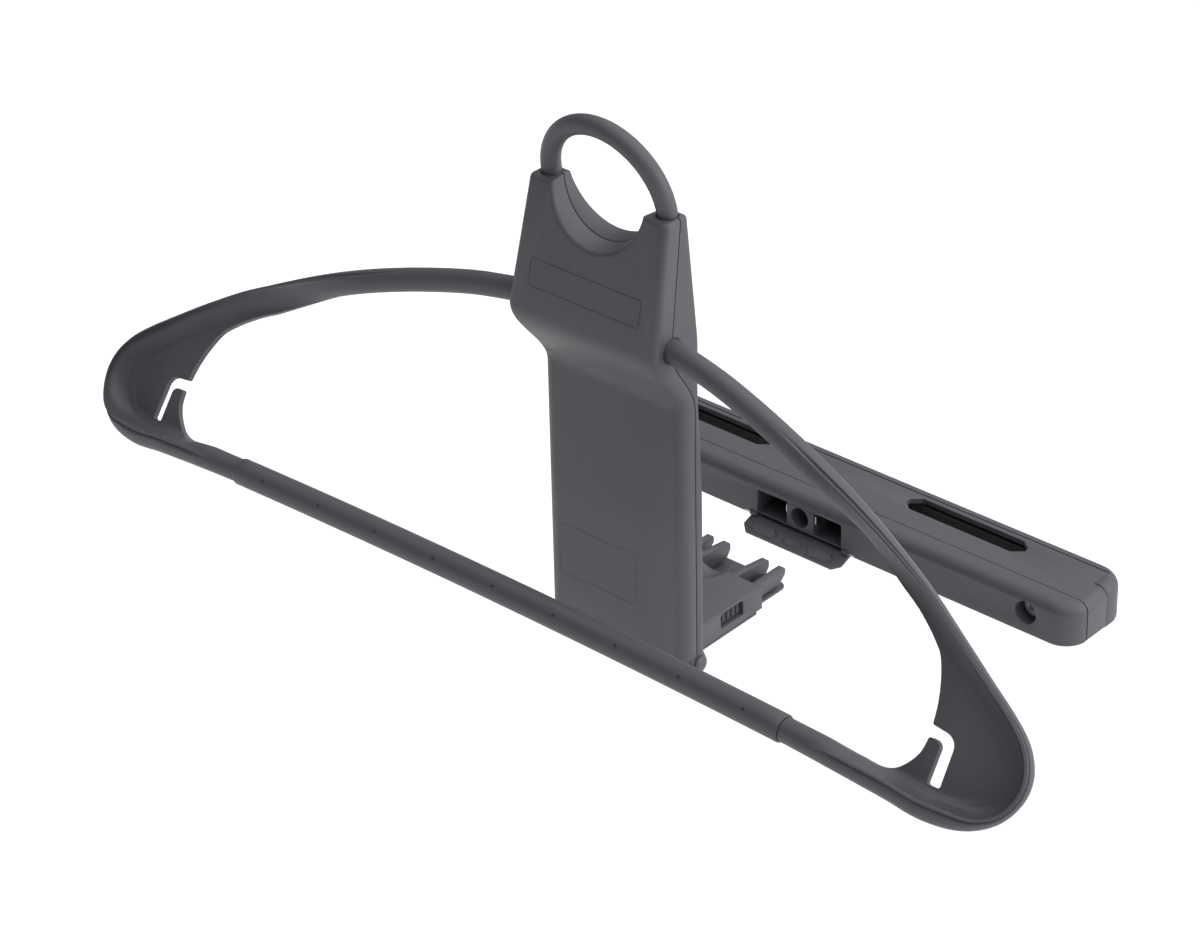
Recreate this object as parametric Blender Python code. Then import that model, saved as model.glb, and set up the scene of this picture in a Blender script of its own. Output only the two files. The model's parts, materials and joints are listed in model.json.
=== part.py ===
"""Travel coat hanger that plugs into a clamp on the posts of a car seat's headrest.

The clamp unit is the root. The hanger plugs into its socket along +Y, and the plug folds
up into the back of the hanger's mast. Metres, +Z up, +X to the right, +Y towards the seat.
The origin lies midway between the two post slots, at half the clamp unit's height.
"""
import math

import bmesh
import bpy
from mathutils import Vector

MM = 0.001

# Clearances
GAP = 0.3 * MM                 # between two pieces that touch
EPS = 0.05 * MM                # how far a cutter runs past the face that it opens

# Clamp unit
BASE_HALF_LENGTH = 124.5 * MM
BASE_HALF_HEIGHT = 8.6 * MM
BASE_FRONT = -24.15 * MM
BASE_BACK = 10.85 * MM
BASE_CORNER = 10.0 * MM        # plan radius of its four corners
BASE_FRONT_ROUND = 5.0 * MM    # how far the upper edge's rounding reaches inwards
BASE_BACK_ROUND = 2.5 * MM
BASE_END_ROUND = 4.0 * MM
BASE_UPPER_ROUND = 4.2 * MM    # and how far down
BASE_LOWER_ROUND = 1.6 * MM
BASE_END_WALL = 5.0 * MM
CORNER_STEPS = 5
EDGE_STEPS = 4
BASE_WALL = 2.2 * MM
FRONT_SEAM = -14.9 * MM        # between the front shell and the frame
BACK_SEAM = 6.6 * MM           # between the frame and the jaw
JAW_END_SEAM = -2.6 * MM       # the jaw wraps round the ends as far as this
JAW_END_LENGTH = 6.0 * MM
FRAME_END_WALL = 3.0 * MM
FRAME_HOLLOW_HALF = BASE_HALF_LENGTH - JAW_END_LENGTH - FRAME_END_WALL
PLATE_INSET = 0.25 * MM        # the frame's top lies this far below the shells

# Post slots
SLOT_INNER = 32.5 * MM
SLOT_OUTER = 86.5 * MM
SLOT_WIDTH = 9.0 * MM
SLOT_POINT = 4.0 * MM
PAD_DEPTH = 2.6 * MM
PAD_REACH = 0.6 * MM           # how far a pad stands into the slot
PAD_HALF_HEIGHT = 5.0 * MM
RIB_THICK = 1.8 * MM           # it backs the pads in the frame
RIB_FRONT = -SLOT_WIDTH / 2 + PAD_REACH - PAD_DEPTH - GAP - RIB_THICK
RIB_OVERLAP = 3.0 * MM         # past each end of a slot
SLOT_BLUNT = 1.2 * MM          # half the width of a slot's flat end

# Clamp screws
SCREW_FROM_END = 20.5 * MM
SCREW_X = BASE_HALF_LENGTH - SCREW_FROM_END
SCREW_Z = 0.8 * MM
SCREW_HOLE_RADIUS = 4.6 * MM
SCREW_TOWER_WALL = 1.8 * MM
SCREW_HEAD_RADIUS = 3.6 * MM
SCREW_HEAD_HEIGHT = 3.0 * MM
SCREW_SHANK_RADIUS = 2.0 * MM
SCREW_SINK = 4.5 * MM          # from the front face to the head
SCREW_LENGTH = 26.0 * MM       # under the head
HEX_RADIUS = 1.9 * MM
HEX_DEPTH = 1.8 * MM
NUT_RADIUS = 4.1 * MM
NUT_HEIGHT = 3.2 * MM
NUT_COVER = 1.2 * MM           # of the jaw behind each nut
NUT_BLOCK_HALF = 5.4 * MM

# Socket, as wide as the plug that it takes
PLUG_HALF_WIDTH = 22.5 * MM
SOCKET_NOSE_HALF = 6.4 * MM
WINDOW_INSET = 2.5 * MM         # from the plug's side
WINDOW_INNER = SOCKET_NOSE_HALF + GAP
WINDOW_OUTER = PLUG_HALF_WIDTH - WINDOW_INSET
WINDOW_TOP = 4.0 * MM
SILL = -6.0 * MM               # the plug's plate passes below this
SOCKET_SIDE_WALL = 4.4 * MM
SOCKET_HALF_WIDTH = WINDOW_OUTER + SOCKET_SIDE_WALL
SOCKET_TOP = 6.2 * MM
SOCKET_BACK = -4.9 * MM
SOCKET_HOLE_RADIUS = 4.1 * MM
SOCKET_HOLE_Z = -0.9 * MM
SOCKET_HOLE_DEPTH = 9.0 * MM
SOCKET_NOSE_SINK = 0.4 * MM     # behind the front face
SOCKET_SCREW_RADIUS = 2.6 * MM
SOCKET_SCREW_HEAD = 1.8 * MM
CATCH_THICK = 0.8 * MM
CATCH_HALF_WIDTH = 3.2 * MM

# Socket flap: it hangs open a little below the level, on arms beside the mouth
FLAP_ARM_CLEARANCE = 0.5 * MM   # outside the window
FLAP_ARM_WIDTH = 2.9 * MM
FLAP_ARM_INNER = WINDOW_OUTER + FLAP_ARM_CLEARANCE
FLAP_HALF_WIDTH = FLAP_ARM_INNER + FLAP_ARM_WIDTH
FLAP_LENGTH = 8.4 * MM
FLAP_THICK = 1.4 * MM
FLAP_DROOP = math.radians(20.0)
FLAP_OFFSET = 0.9 * MM         # from the pin's axis to the plate
FLAP_KNUCKLE = 1.2 * MM
FLAP_PIN_RADIUS = 0.6 * MM
FLAP_PIN_SINK = 0.6 * MM       # behind the front face
FLAP_PIN_Z = -7.4 * MM
FLAP_PIN_REACH = 2.6 * MM
FLAP_BLOCK_HEIGHT = 1.1 * MM
FLAP_BLOCK_START = 3.3 * MM
FLAP_CHAMFER = 3.0 * MM
FLAP_ROOT = -0.4 * MM          # where its plate starts, from the pin
FLAP_BLOCK_TAPER = 0.7 * MM

# Mast, z levels and the run of its faces
MAST_BOTTOM = 0.7 * MM
MAST_TOP = 177.0 * MM
MAST_HALF_WIDTH = 32.0 * MM
NECK_HALF_WIDTH = 33.2 * MM
HEAD_HALF_WIDTH = 30.8 * MM
MAST_FRONT = -128.2 * MM
MAST_SEAM = -121.2 * MM
MAST_BACK = -116.7 * MM
HEAD_FRONT_LOW = -143.6 * MM   # foremost point of the head
HEAD_FRONT_TOP = -133.5 * MM
HEAD_SEAM_LOW = -134.5 * MM
HEAD_SEAM_TOP = -126.3 * MM
HEAD_BACK_TOP = -122.3 * MM
BACK_BEND = 66.0 * MM          # the back is upright up to here
CURVE_LOW = 102.0 * MM
CURVE_HIGH = 131.0 * MM
MAST_WALL = 2.1 * MM
MAST_EDGE = 5.0 * MM
HEAD_EDGE = 2.6 * MM
BACK_EDGE = 2.0 * MM
MAST_CAVITY_TOP = 150.0 * MM
LABEL_HALF_WIDTH = 24.6 * MM
LABEL_LOW = 141.9 * MM
LABEL_HIGH = 149.5 * MM
LABEL_DEPTH = 0.4 * MM

# Ring at the top of the mast
NOTCH_RADIUS = 20.1 * MM        # at the head's front; it opens a little towards the back
NOTCH_Z = MAST_TOP + 2.2 * MM
NOTCH_BACK_RADIUS = 22.3 * MM
NOTCH_BACK_Z = MAST_TOP + 7.2 * MM
NOTCH_OPENING = (-137.5 * MM, -121.5 * MM)   # it changes from one to the other over this stretch
RING_RADIUS = 25.6 * MM
RING_ROD = 3.6 * MM
RING_Z = MAST_TOP + 0.6 * MM
RING_Y = HEAD_SEAM_TOP - 0.8 * MM
RING_LEAN = 0.18               # forwards, above the ears
RING_LEG = 11.0 * MM
RING_SOCKET_TOP = 5.0 * MM      # its cutter ends above the ears

# Plug and its hinge
PIN_Y = -119.5 * MM
PIN_Z = -2.95 * MM
PIN_RADIUS = 1.6 * MM
PIN_HEAD_RADIUS = 3.2 * MM
PIN_HEAD = 1.2 * MM
PIN_CROWN = 0.8 * MM           # how far each head is drawn in at its end
LUG_RADIUS = 4.0 * MM
LUG_RISE = 4.0 * MM
BOSS_REACH = 2.3 * MM          # the plug's hinge bosses stand out beside it
PLUG_TOP = 3.2 * MM
PLUG_FLOOR = -6.6 * MM
PLUG_PLATE = 1.0 * MM
PLUG_BACK = -73.2 * MM         # the face that meets the clamp unit
PLUG_TIP = -54.8 * MM
PLUG_WALL = 1.8 * MM
HEEL_SLOPE = (1.2 * MM, 4.4 * MM)   # behind the pin, the plug rises to its top over this stretch
POCKET_CLEARANCE = 1.5 * MM
POCKET_HALF_WIDTH = PLUG_HALF_WIDTH + POCKET_CLEARANCE
POCKET_TOP = 67.0 * MM
PRONG_CLEARANCE = 0.9 * MM      # beside the inner prongs, in the window
FIN_CLEARANCE = 1.6 * MM        # beside the outer ones, which the buttons draw in
PRONG_THICK = 3.2 * MM
FIN_THICK = 2.8 * MM
PRONG_INNER = (WINDOW_INNER + PRONG_CLEARANCE, WINDOW_INNER + PRONG_CLEARANCE + PRONG_THICK)
PRONG_OUTER = (WINDOW_OUTER - FIN_CLEARANCE - FIN_THICK, WINDOW_OUTER - FIN_CLEARANCE)
PRONG_TOP = 0.3 * MM
PRONG_ROOT_TOP = 2.4 * MM
PRONG_TIP_LOW = -2.5 * MM      # the tip slants up to here
FIN_DROP = 2.0 * MM            # an outer prong's root lies below the inner ones' by this
BUTTON_Y = -90.4 * MM
BUTTON_HALF_LENGTH = 6.0 * MM
BUTTON_LOW = -3.6 * MM
BUTTON_HIGH = 2.0 * MM
BUTTON_SINK = 1.4 * MM
BUTTON_TRAVEL = 2.0 * MM
BUTTON_RIBS = 4
RIB_HEIGHT = 0.6 * MM
HEEL_FRONT = MAST_FRONT + 1.0 * MM
PLUG_MOUTH = -110.0 * MM       # the hollow of the plug starts here
SPRING_LENGTH = 8.0 * MM
SPRING_RADIUS = 1.8 * MM
SPRING_WIRE = 0.3 * MM
SPRING_Z = -2.4 * MM
SPRING_TURNS = 4
SPRING_STEPS = 10
SPRING_RIB_HALF = PRONG_OUTER[0] - 2 * GAP - SPRING_LENGTH

# Hanger loop: its plane is tilted, the rail lies in front and the arms rise to the head
LOOP_TILT = math.radians(54.5)
LOOP_ORIGIN = Vector((0.0, -186.86 * MM, 49.35 * MM))
ROD_RADIUS = 4.3 * MM
RIM_RADIUS = 4.9 * MM          # at the tip
RIM_TAPER_START = 120.0 * MM   # from here outwards the rod swells
RIM_TAPER_END = 180.0 * MM
SLEEVE_RADIUS = 4.95 * MM
SLEEVE_HALF_LENGTH = 125.4 * MM
CORE_RADIUS = 2.6 * MM
CORE_REACH = 22.0 * MM         # how far the rail's core runs into each shoulder
RAIL_BOW = 0.1                 # the rail drops by this times its distance from the middle squared
DIMPLE_SPACING = 27.7 * MM
DIMPLE_RADIUS = 0.7 * MM
DIMPLE_DEPTH = 0.5 * MM
DIMPLES_A_SIDE = 4
ARM_END = 16.0 * MM            # the arms stop here inside the head
ARM_LEAD = 8.0 * MM            # their way in is cut from this far outside
BLOCK_HALF_WIDTH = 27.0 * MM   # of the block that holds them
BLOCK_HALF_HEIGHT = 7.5 * MM
WEB_THICK = 3.4 * MM
WEB_LEVEL = -7.4 * MM
WEB_BEND_START = 182.0 * MM    # beyond this the web bends back with the tip
WEB_BEND = 7.0                 # by this times the distance squared

# Path of the rim from the rail's end round the tip and up to the head: across, up the
# loop's plane and out of it
SHOULDER_PATH = (
    (143.0, -2.2, 0.0), (155.0, -2.8, -1.0), (168.0, -3.6, -2.6), (181.0, -4.8, -4.6),
    (192.5, -3.2, -6.6), (200.5, 1.6, -8.4), (204.6, 8.6, -9.6), (204.6, 15.6, -10.0),
    (200.6, 22.4, -9.8), (193.4, 28.4, -8.6), (181.0, 36.6, -6.4), (166.0, 46.4, -4.3),
    (148.0, 57.4, -2.4), (119.0, 72.0, 0.2), (89.5, 83.4, 2.3), (58.0, 92.7, 3.9),
    (33.5, 97.3, 4.7),
)
# Outline of the web beside the rim, with the strap slot open to its inner edge
WEB_OUTLINE = (
    (152.0, -2.4), (168.0, -3.6), (181.0, -4.8), (192.5, -3.2), (200.5, 1.6), (204.6, 8.6),
    (204.6, 15.6), (200.6, 22.4), (193.4, 28.4), (181.0, 36.6), (166.0, 46.4), (155.0, 53.0),
    (161.8, 43.8), (165.8, 36.8), (168.6, 30.2), (170.2, 24.0), (171.0, 19.2),
    (175.6, 18.6), (178.6, 17.2), (180.0, 14.6), (179.9, 2.0), (178.9, 1.2), (176.6, 1.4),
    (175.7, 2.4), (175.9, 12.0), (175.0, 14.2), (172.6, 15.4), (171.1, 15.2),
    (169.6, 10.6), (167.2, 7.0), (164.0, 4.0), (159.8, 1.2), (155.0, -0.6),
)

RIM_SIDES = 12
ROD_SIDES = 12

# Cover screws and their bosses
BOSS_RADIUS = 3.2 * MM
PILOT_RADIUS = 1.4 * MM
PILOT_DEPTH = 4.2 * MM
SCREW_REACH = 3.6 * MM
COVER_SCREW_RADIUS = 1.1 * MM
COVER_HEAD_RADIUS = 2.2 * MM
COVER_HEAD_HEIGHT = 1.2 * MM
COVER_HEAD_SINK = 0.2 * MM      # below the cover's back
COVER_SCREW_X = 25.5 * MM
COVER_SCREW_LEVELS = (75.0 * MM, 112.0 * MM)

PLASTIC = {"dark": (0.055, 0.057, 0.062), "inner": (0.03, 0.03, 0.033)}


def clear_scene():
    """Start from nothing."""
    for obj in list(bpy.data.objects):
        bpy.data.objects.remove(obj)


def material(name, colour, roughness, metallic=0.0):
    """A Principled material in one colour."""
    made = bpy.data.materials.get(name)
    if made:
        return made
    made = bpy.data.materials.new(name)
    made.use_nodes = True
    shader = made.node_tree.nodes["Principled BSDF"]
    shader.inputs["Base Color"].default_value = (*colour, 1.0)
    shader.inputs["Roughness"].default_value = roughness
    shader.inputs["Metallic"].default_value = metallic
    made.diffuse_color = (*colour, 1.0)
    return made


def dark_plastic():
    return material("dark_plastic", PLASTIC["dark"], 0.55)


def inner_plastic():
    return material("inner_plastic", PLASTIC["inner"], 0.6)


def steel():
    return material("steel", (0.55, 0.56, 0.58), 0.3, 1.0)


def rubber():
    return material("rubber", (0.02, 0.02, 0.02), 0.85)


def mesh_object(name, bm, look=None, smooth_angle=None):
    """Turn a bmesh into a named object with its faces turned outwards."""
    bmesh.ops.recalc_face_normals(bm, faces=bm.faces)
    if bm.calc_volume(signed=True) < 0.0:
        bmesh.ops.reverse_faces(bm, faces=bm.faces)
    mesh = bpy.data.meshes.new(name)
    bm.to_mesh(mesh)
    bm.free()
    obj = bpy.data.objects.new(name, mesh)
    bpy.context.scene.collection.objects.link(obj)
    if look:
        mesh.materials.append(look)
    if smooth_angle:
        mesh.shade_smooth()
        mesh.set_sharp_from_angle(angle=math.radians(smooth_angle))
    return obj


def add_rings(bm, rings):
    """Skin a row of rings that have equally many points, and cap both ends."""
    verts = [[bm.verts.new(point) for point in ring] for ring in rings]
    count = len(rings[0])
    for near, far in zip(verts, verts[1:]):
        for i in range(count):
            j = (i + 1) % count
            bm.faces.new((near[i], near[j], far[j], far[i]))
    bm.faces.new(verts[0][::-1])
    bm.faces.new(verts[-1])


def add_box(bm, low, high):
    ring = [(low[0], low[1]), (high[0], low[1]), (high[0], high[1]), (low[0], high[1])]
    add_rings(bm, [[Vector((x, y, z)) for x, y in ring] for z in (low[2], high[2])])


def add_prism(bm, outline, axis, low, high):
    """Extrude a flat outline along X, Y or Z; its points are the other two axes in order."""
    def place(point, along):
        a, b = point
        return Vector({"X": (along, a, b), "Y": (a, along, b), "Z": (a, b, along)}[axis])
    add_rings(bm, [[place(point, along) for point in outline] for along in (low, high)])


def circle(centre, radius, sides=16, start=0.0):
    return [(centre[0] + radius * math.cos(start + 2 * math.pi * i / sides),
             centre[1] + radius * math.sin(start + 2 * math.pi * i / sides))
            for i in range(sides)]


def sweep(bm, points, radii, sides, up=None):
    """A round tube along a row of points, with a radius for each point."""
    up = up or Vector((0.0, -math.sin(LOOP_TILT), math.cos(LOOP_TILT)))
    rings = []
    for i, point in enumerate(points):
        ahead = points[min(i + 1, len(points) - 1)]
        behind = points[max(i - 1, 0)]
        along = (ahead - behind).normalized()
        side = along.cross(up).normalized()
        top = side.cross(along)
        rings.append([point + radii[i] * (side * math.cos(a) + top * math.sin(a))
                      for a in (2 * math.pi * k / sides for k in range(sides))])
    add_rings(bm, rings)


def smooth_path(knots, steps):
    """A Catmull-Rom curve through the knots, with so many steps between two of them."""
    out = []
    for i in range(len(knots) - 1):
        p0 = knots[max(i - 1, 0)]
        p1, p2 = knots[i], knots[i + 1]
        p3 = knots[min(i + 2, len(knots) - 1)]
        for k in range(steps):
            t = k / steps
            out.append(0.5 * (2 * p1 + (p2 - p0) * t + (2 * p0 - 5 * p1 + 4 * p2 - p3) * t * t
                              + (3 * p1 - p0 - 3 * p2 + p3) * t ** 3))
    out.append(knots[-1])
    return out


def cutter(name, bm):
    """A tool body for a Boolean: it is drawn as wire and never rendered."""
    obj = mesh_object(name, bm)
    obj.hide_render = True
    obj.display_type = "WIRE"
    return obj


def combine(obj, tool, operation):
    step = obj.modifiers.new(tool.name, "BOOLEAN")
    step.operation = operation
    step.object = tool
    step.solver = "EXACT"
    return obj


def cut(obj, tool):
    return combine(obj, tool, "DIFFERENCE")


def keep(obj, tool):
    return combine(obj, tool, "INTERSECT")


def join(obj, tool):
    return combine(obj, tool, "UNION")


def mirrored_copy(obj, name):
    """The finished shape of an object, turned over to the other side of the YZ plane."""
    bpy.context.view_layer.update()
    finished = obj.evaluated_get(bpy.context.evaluated_depsgraph_get())
    bm = bmesh.new()
    bm.from_mesh(finished.data)
    bmesh.ops.scale(bm, vec=(-1.0, 1.0, 1.0), verts=bm.verts)
    bmesh.ops.reverse_faces(bm, faces=bm.faces)
    return mesh_object(name, bm, obj.data.materials[0], 40)


def smooth_step(value, low, high):
    t = min(max((value - low) / (high - low), 0.0), 1.0)
    return t * t * (3 - 2 * t)


def blend(low_value, high_value, share):
    return low_value + (high_value - low_value) * share


def front_face(z):
    """Where the front of the mast lies at a height."""
    if z <= CURVE_HIGH:
        return blend(MAST_FRONT, HEAD_FRONT_LOW, smooth_step(z, CURVE_LOW, CURVE_HIGH))
    return blend(HEAD_FRONT_LOW, HEAD_FRONT_TOP, (z - CURVE_HIGH) / (MAST_TOP - CURVE_HIGH))


def seam_face(z):
    """Where the two covers meet at a height."""
    if z <= CURVE_HIGH:
        return blend(MAST_SEAM, HEAD_SEAM_LOW, smooth_step(z, CURVE_LOW, CURVE_HIGH))
    return blend(HEAD_SEAM_LOW, HEAD_SEAM_TOP, (z - CURVE_HIGH) / (MAST_TOP - CURVE_HIGH))


def back_face(z):
    share = max(z - BACK_BEND, 0.0) / (MAST_TOP - BACK_BEND)
    return blend(MAST_BACK, HEAD_BACK_TOP, share)


def half_width(z):
    if z <= CURVE_HIGH:
        return blend(MAST_HALF_WIDTH, NECK_HALF_WIDTH, smooth_step(z, CURVE_LOW, CURVE_HIGH))
    return blend(NECK_HALF_WIDTH, HEAD_HALF_WIDTH, (z - CURVE_HIGH) / (MAST_TOP - CURVE_HIGH))


def edge_radius(z):
    return blend(MAST_EDGE, HEAD_EDGE, smooth_step(z, CURVE_LOW, CURVE_HIGH))


def mast_levels(low, high):
    """Heights of the mast's sections: close together through its S-curve."""
    curve = [CURVE_LOW + (CURVE_HIGH - CURVE_LOW) * k / 8 for k in range(9)]
    inside = [z for z in [BACK_BEND] + curve if low + MM < z < high - MM]
    return [low] + inside + [high]


def cover_section(z, seam, outer, width, radius):
    """One cover's outline at a height: flat at the seam, rounded at its outer corners."""
    away = 1.0 if outer > seam else -1.0
    right = [(width, seam)]
    for k in range(5):
        turn = math.pi / 2 * k / 4
        right.append((width - radius + radius * math.cos(turn),
                      outer - away * (radius - radius * math.sin(turn))))
    left = [(-x, y) for x, y in reversed(right)]
    return [Vector((x, y, z)) for x, y in right + left]


def cover_body(bm, face, inset, low, high, radius_cap):
    """The block between the seam and one face of the mast, drawn in by an inset."""
    rings = []
    for z in mast_levels(low, high):
        outer = face(z)
        away = 1.0 if outer > seam_face(z) else -1.0
        seam = seam_face(z) + away * (GAP / 2 if inset == 0.0 else -MAST_WALL)
        radius = max(min(edge_radius(z), radius_cap) - inset, 0.3 * MM)
        rings.append(cover_section(z, seam, outer - away * inset, half_width(z) - inset, radius))
    add_rings(bm, rings)


def loop_point(across, up, out):
    """A point given along the loop's own axes."""
    rise = Vector((0.0, math.cos(LOOP_TILT), math.sin(LOOP_TILT)))
    normal = Vector((0.0, -math.sin(LOOP_TILT), math.cos(LOOP_TILT)))
    return LOOP_ORIGIN + Vector((across, 0.0, 0.0)) + rise * up + normal * out


def rail_drop(across):
    return -RAIL_BOW * across * across


def ring_plane(across, up):
    """A point in the plane of the ring: its legs are upright, and above them it leans forwards."""
    lean = math.atan(RING_LEAN) if up > 0.0 else 0.0
    return Vector((across, RING_Y - up * math.sin(lean), RING_Z + up * math.cos(lean)))


def ring_points(inner_leg):
    legs = [ring_plane(-RING_RADIUS, -inner_leg)]
    arc = [ring_plane(-RING_RADIUS * math.cos(a), RING_RADIUS * math.sin(a))
           for a in (math.pi * k / 20 for k in range(21))]
    return legs + arc + [ring_plane(RING_RADIUS, -inner_leg)]


def head_notch(name):
    front, back = NOTCH_OPENING
    rings = []
    for y, z, radius in ((HEAD_FRONT_LOW - MM, NOTCH_Z, NOTCH_RADIUS), (front, NOTCH_Z, NOTCH_RADIUS),
                         (back, NOTCH_BACK_Z, NOTCH_BACK_RADIUS),
                         (MAST_BACK + MM, NOTCH_BACK_Z, NOTCH_BACK_RADIUS)):
        rings.append([Vector((x, y, level)) for x, level in circle((0.0, z), radius, 40)])
    bm = bmesh.new()
    add_rings(bm, rings)
    return cutter(name, bm)


def ring_sockets(name):
    bm = bmesh.new()
    for side in (-1, 1):
        points = [ring_plane(side * RING_RADIUS, up) for up in (-RING_LEG - GAP, 0.0, RING_SOCKET_TOP)]
        sweep(bm, points, [RING_ROD + GAP] * 3, ROD_SIDES, Vector((0.0, -1.0, 0.0)))
    return cutter(name, bm)


def arm_passages(name):
    """Ways for the two arms through the head's sides."""
    bm = bmesh.new()
    knots = arm_knots()
    for side in (-1, 1):
        points = [Vector((side * p.x, p.y, p.z)) for p in knots]
        sweep(bm, points, [ROD_RADIUS + GAP] * len(points), ROD_SIDES)
    return cutter(name, bm)


def arm_knots():
    """The arm's centre line near the head, from outside to its end within."""
    outside = loop_point(*[value * MM for value in SHOULDER_PATH[-2]])
    exit_point = loop_point(*[value * MM for value in SHOULDER_PATH[-1]])
    inward = (exit_point - outside).normalized()
    reach = (exit_point.x - ARM_END + GAP) / -inward.x
    return [exit_point - inward * ARM_LEAD, exit_point + inward * reach]


def front_cover():
    bm = bmesh.new()
    cover_body(bm, front_face, 0.0, MAST_BOTTOM, MAST_TOP, MAST_EDGE)
    obj = mesh_object("front_cover", bm, dark_plastic(), 30)
    bm = bmesh.new()
    cover_body(bm, front_face, MAST_WALL, MAST_BOTTOM - MM, MAST_CAVITY_TOP, MAST_EDGE)
    cut(obj, cutter("front_cavity", bm))
    cut(obj, head_notch("front_notch"))
    cut(obj, ring_sockets("front_ring_sockets"))
    cut(obj, arm_passages("front_arm_passages"))
    bm = bmesh.new()
    rings = []
    for z in (LABEL_LOW, LABEL_HIGH):
        y = front_face(z)
        rings.append([Vector((x, y + d, z)) for x, d in (
            (-LABEL_HALF_WIDTH, -2 * MM), (LABEL_HALF_WIDTH, -2 * MM),
            (LABEL_HALF_WIDTH, LABEL_DEPTH), (-LABEL_HALF_WIDTH, LABEL_DEPTH))])
    add_rings(bm, rings)
    cut(obj, cutter("label_recess", bm))
    bm = bmesh.new()
    for x, z in cover_screw_places():
        depth = front_face(z) + MAST_WALL - EPS
        add_prism(bm, circle((x, z), BOSS_RADIUS, 12), "Y", depth, seam_face(z) - GAP)
    join(obj, cutter("front_bosses", bm))
    bm = bmesh.new()
    for x, z in cover_screw_places():
        add_prism(bm, circle((x, z), PILOT_RADIUS, 10), "Y",
                  seam_face(z) - PILOT_DEPTH, seam_face(z) + MM)
    return cut(obj, cutter("front_pilots", bm))


def cover_screw_places():
    return [(side * COVER_SCREW_X, z) for z in COVER_SCREW_LEVELS for side in (-1, 1)]


def rear_cover():
    bm = bmesh.new()
    cover_body(bm, back_face, 0.0, MAST_BOTTOM, MAST_TOP, BACK_EDGE)
    obj = mesh_object("rear_cover", bm, dark_plastic(), 30)
    bm = bmesh.new()
    cover_body(bm, back_face, MAST_WALL, MAST_BOTTOM - MM, MAST_CAVITY_TOP, BACK_EDGE)
    cut(obj, cutter("rear_cavity", bm))
    bm = bmesh.new()
    for side in (-1, 1):
        add_lug(bm, side)
    join(obj, cutter("hinge_lugs", bm))
    bm = bmesh.new()
    add_box(bm, (-POCKET_HALF_WIDTH, MAST_FRONT, MAST_BOTTOM - 2 * MM),
            (POCKET_HALF_WIDTH, MAST_BACK + MM, POCKET_TOP))
    cut(obj, cutter("plug_pocket", bm))
    bm = bmesh.new()
    add_prism(bm, circle((PIN_Y, PIN_Z), PIN_RADIUS + GAP / 2, 16), "X",
              -MAST_HALF_WIDTH - MM, MAST_HALF_WIDTH + MM)
    cut(obj, cutter("rear_pin_bore", bm))
    cut(obj, head_notch("rear_notch"))
    cut(obj, ring_sockets("rear_ring_sockets"))
    cut(obj, arm_passages("rear_arm_passages"))
    bm = bmesh.new()
    for x, z in cover_screw_places():
        add_prism(bm, circle((x, z), BOSS_RADIUS, 12), "Y",
                  seam_face(z) + GAP, back_face(z) - MAST_WALL + EPS)
    join(obj, cutter("rear_bosses", bm))
    bm = bmesh.new()
    for x, z in cover_screw_places():
        seat = back_face(z) - COVER_HEAD_HEIGHT - GAP
        add_turned(bm, (x, z), ((PILOT_RADIUS, seam_face(z) - MM), (PILOT_RADIUS, seat),
                                (COVER_HEAD_RADIUS + GAP, seat),
                                (COVER_HEAD_RADIUS + GAP, back_face(z) + MM)), 12)
    return cut(obj, cutter("rear_screw_holes", bm))


def add_lug(bm, side):
    """One ear of the mast round the hinge pin, rising into the side wall."""
    outer = MAST_HALF_WIDTH - GAP
    inner = PLUG_HALF_WIDTH + BOSS_REACH + GAP
    low, high = sorted((side * outer, side * inner))
    arc = [(PIN_Y + LUG_RADIUS * math.cos(a), PIN_Z + LUG_RADIUS * math.sin(a))
           for a in (math.pi + math.pi * k / 8 for k in range(9))]
    top = MAST_BOTTOM + LUG_RISE
    below = MAST_BOTTOM - GAP
    front = MAST_SEAM + GAP
    outline = arc + [(MAST_BACK - BACK_EDGE, top), (front, top), (front, below),
                     (PIN_Y - LUG_RADIUS, below)]
    add_prism(bm, outline, "X", low, high)


def top_ring():
    bm = bmesh.new()
    points = ring_points(RING_LEG)
    sweep(bm, points, [RING_ROD] * len(points), ROD_SIDES, Vector((0.0, -1.0, 0.0)))
    return mesh_object("top_loop", bm, dark_plastic(), 40)


def add_turned(bm, centre, steps, sides):
    """Turn a profile round an axis along Y: each step is a radius and the place where it holds."""
    add_rings(bm, [[Vector((x, y, z)) for x, z in circle(centre, radius, sides)]
                   for radius, y in steps])


def turned_y(name, centre, steps, sides, look):
    bm = bmesh.new()
    add_turned(bm, centre, steps, sides)
    return mesh_object(name, bm, look, 40)


def cover_screw(name, x, z):
    seat = back_face(z) - COVER_HEAD_HEIGHT
    return turned_y(name, (x, z), (
        (COVER_HEAD_RADIUS, seat + COVER_HEAD_HEIGHT - COVER_HEAD_SINK), (COVER_HEAD_RADIUS, seat),
        (COVER_SCREW_RADIUS, seat), (COVER_SCREW_RADIUS, seam_face(z) - SCREW_REACH)), 10, steel())


def clamp_block():
    """Block inside the head that fills the depth between the covers and holds both arms."""
    end = arm_knots()[1]
    low, high = end.z - BLOCK_HALF_HEIGHT, end.z + BLOCK_HALF_HEIGHT
    front = max(front_face(low), front_face(high)) + MAST_WALL + GAP
    back = min(back_face(low), back_face(high)) - MAST_WALL - GAP
    bm = bmesh.new()
    add_box(bm, (-BLOCK_HALF_WIDTH, front, low), (BLOCK_HALF_WIDTH, back, high))
    obj = mesh_object("arm_clamp_block", bm, inner_plastic())
    return cut(obj, arm_passages("block_passages"))


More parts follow.
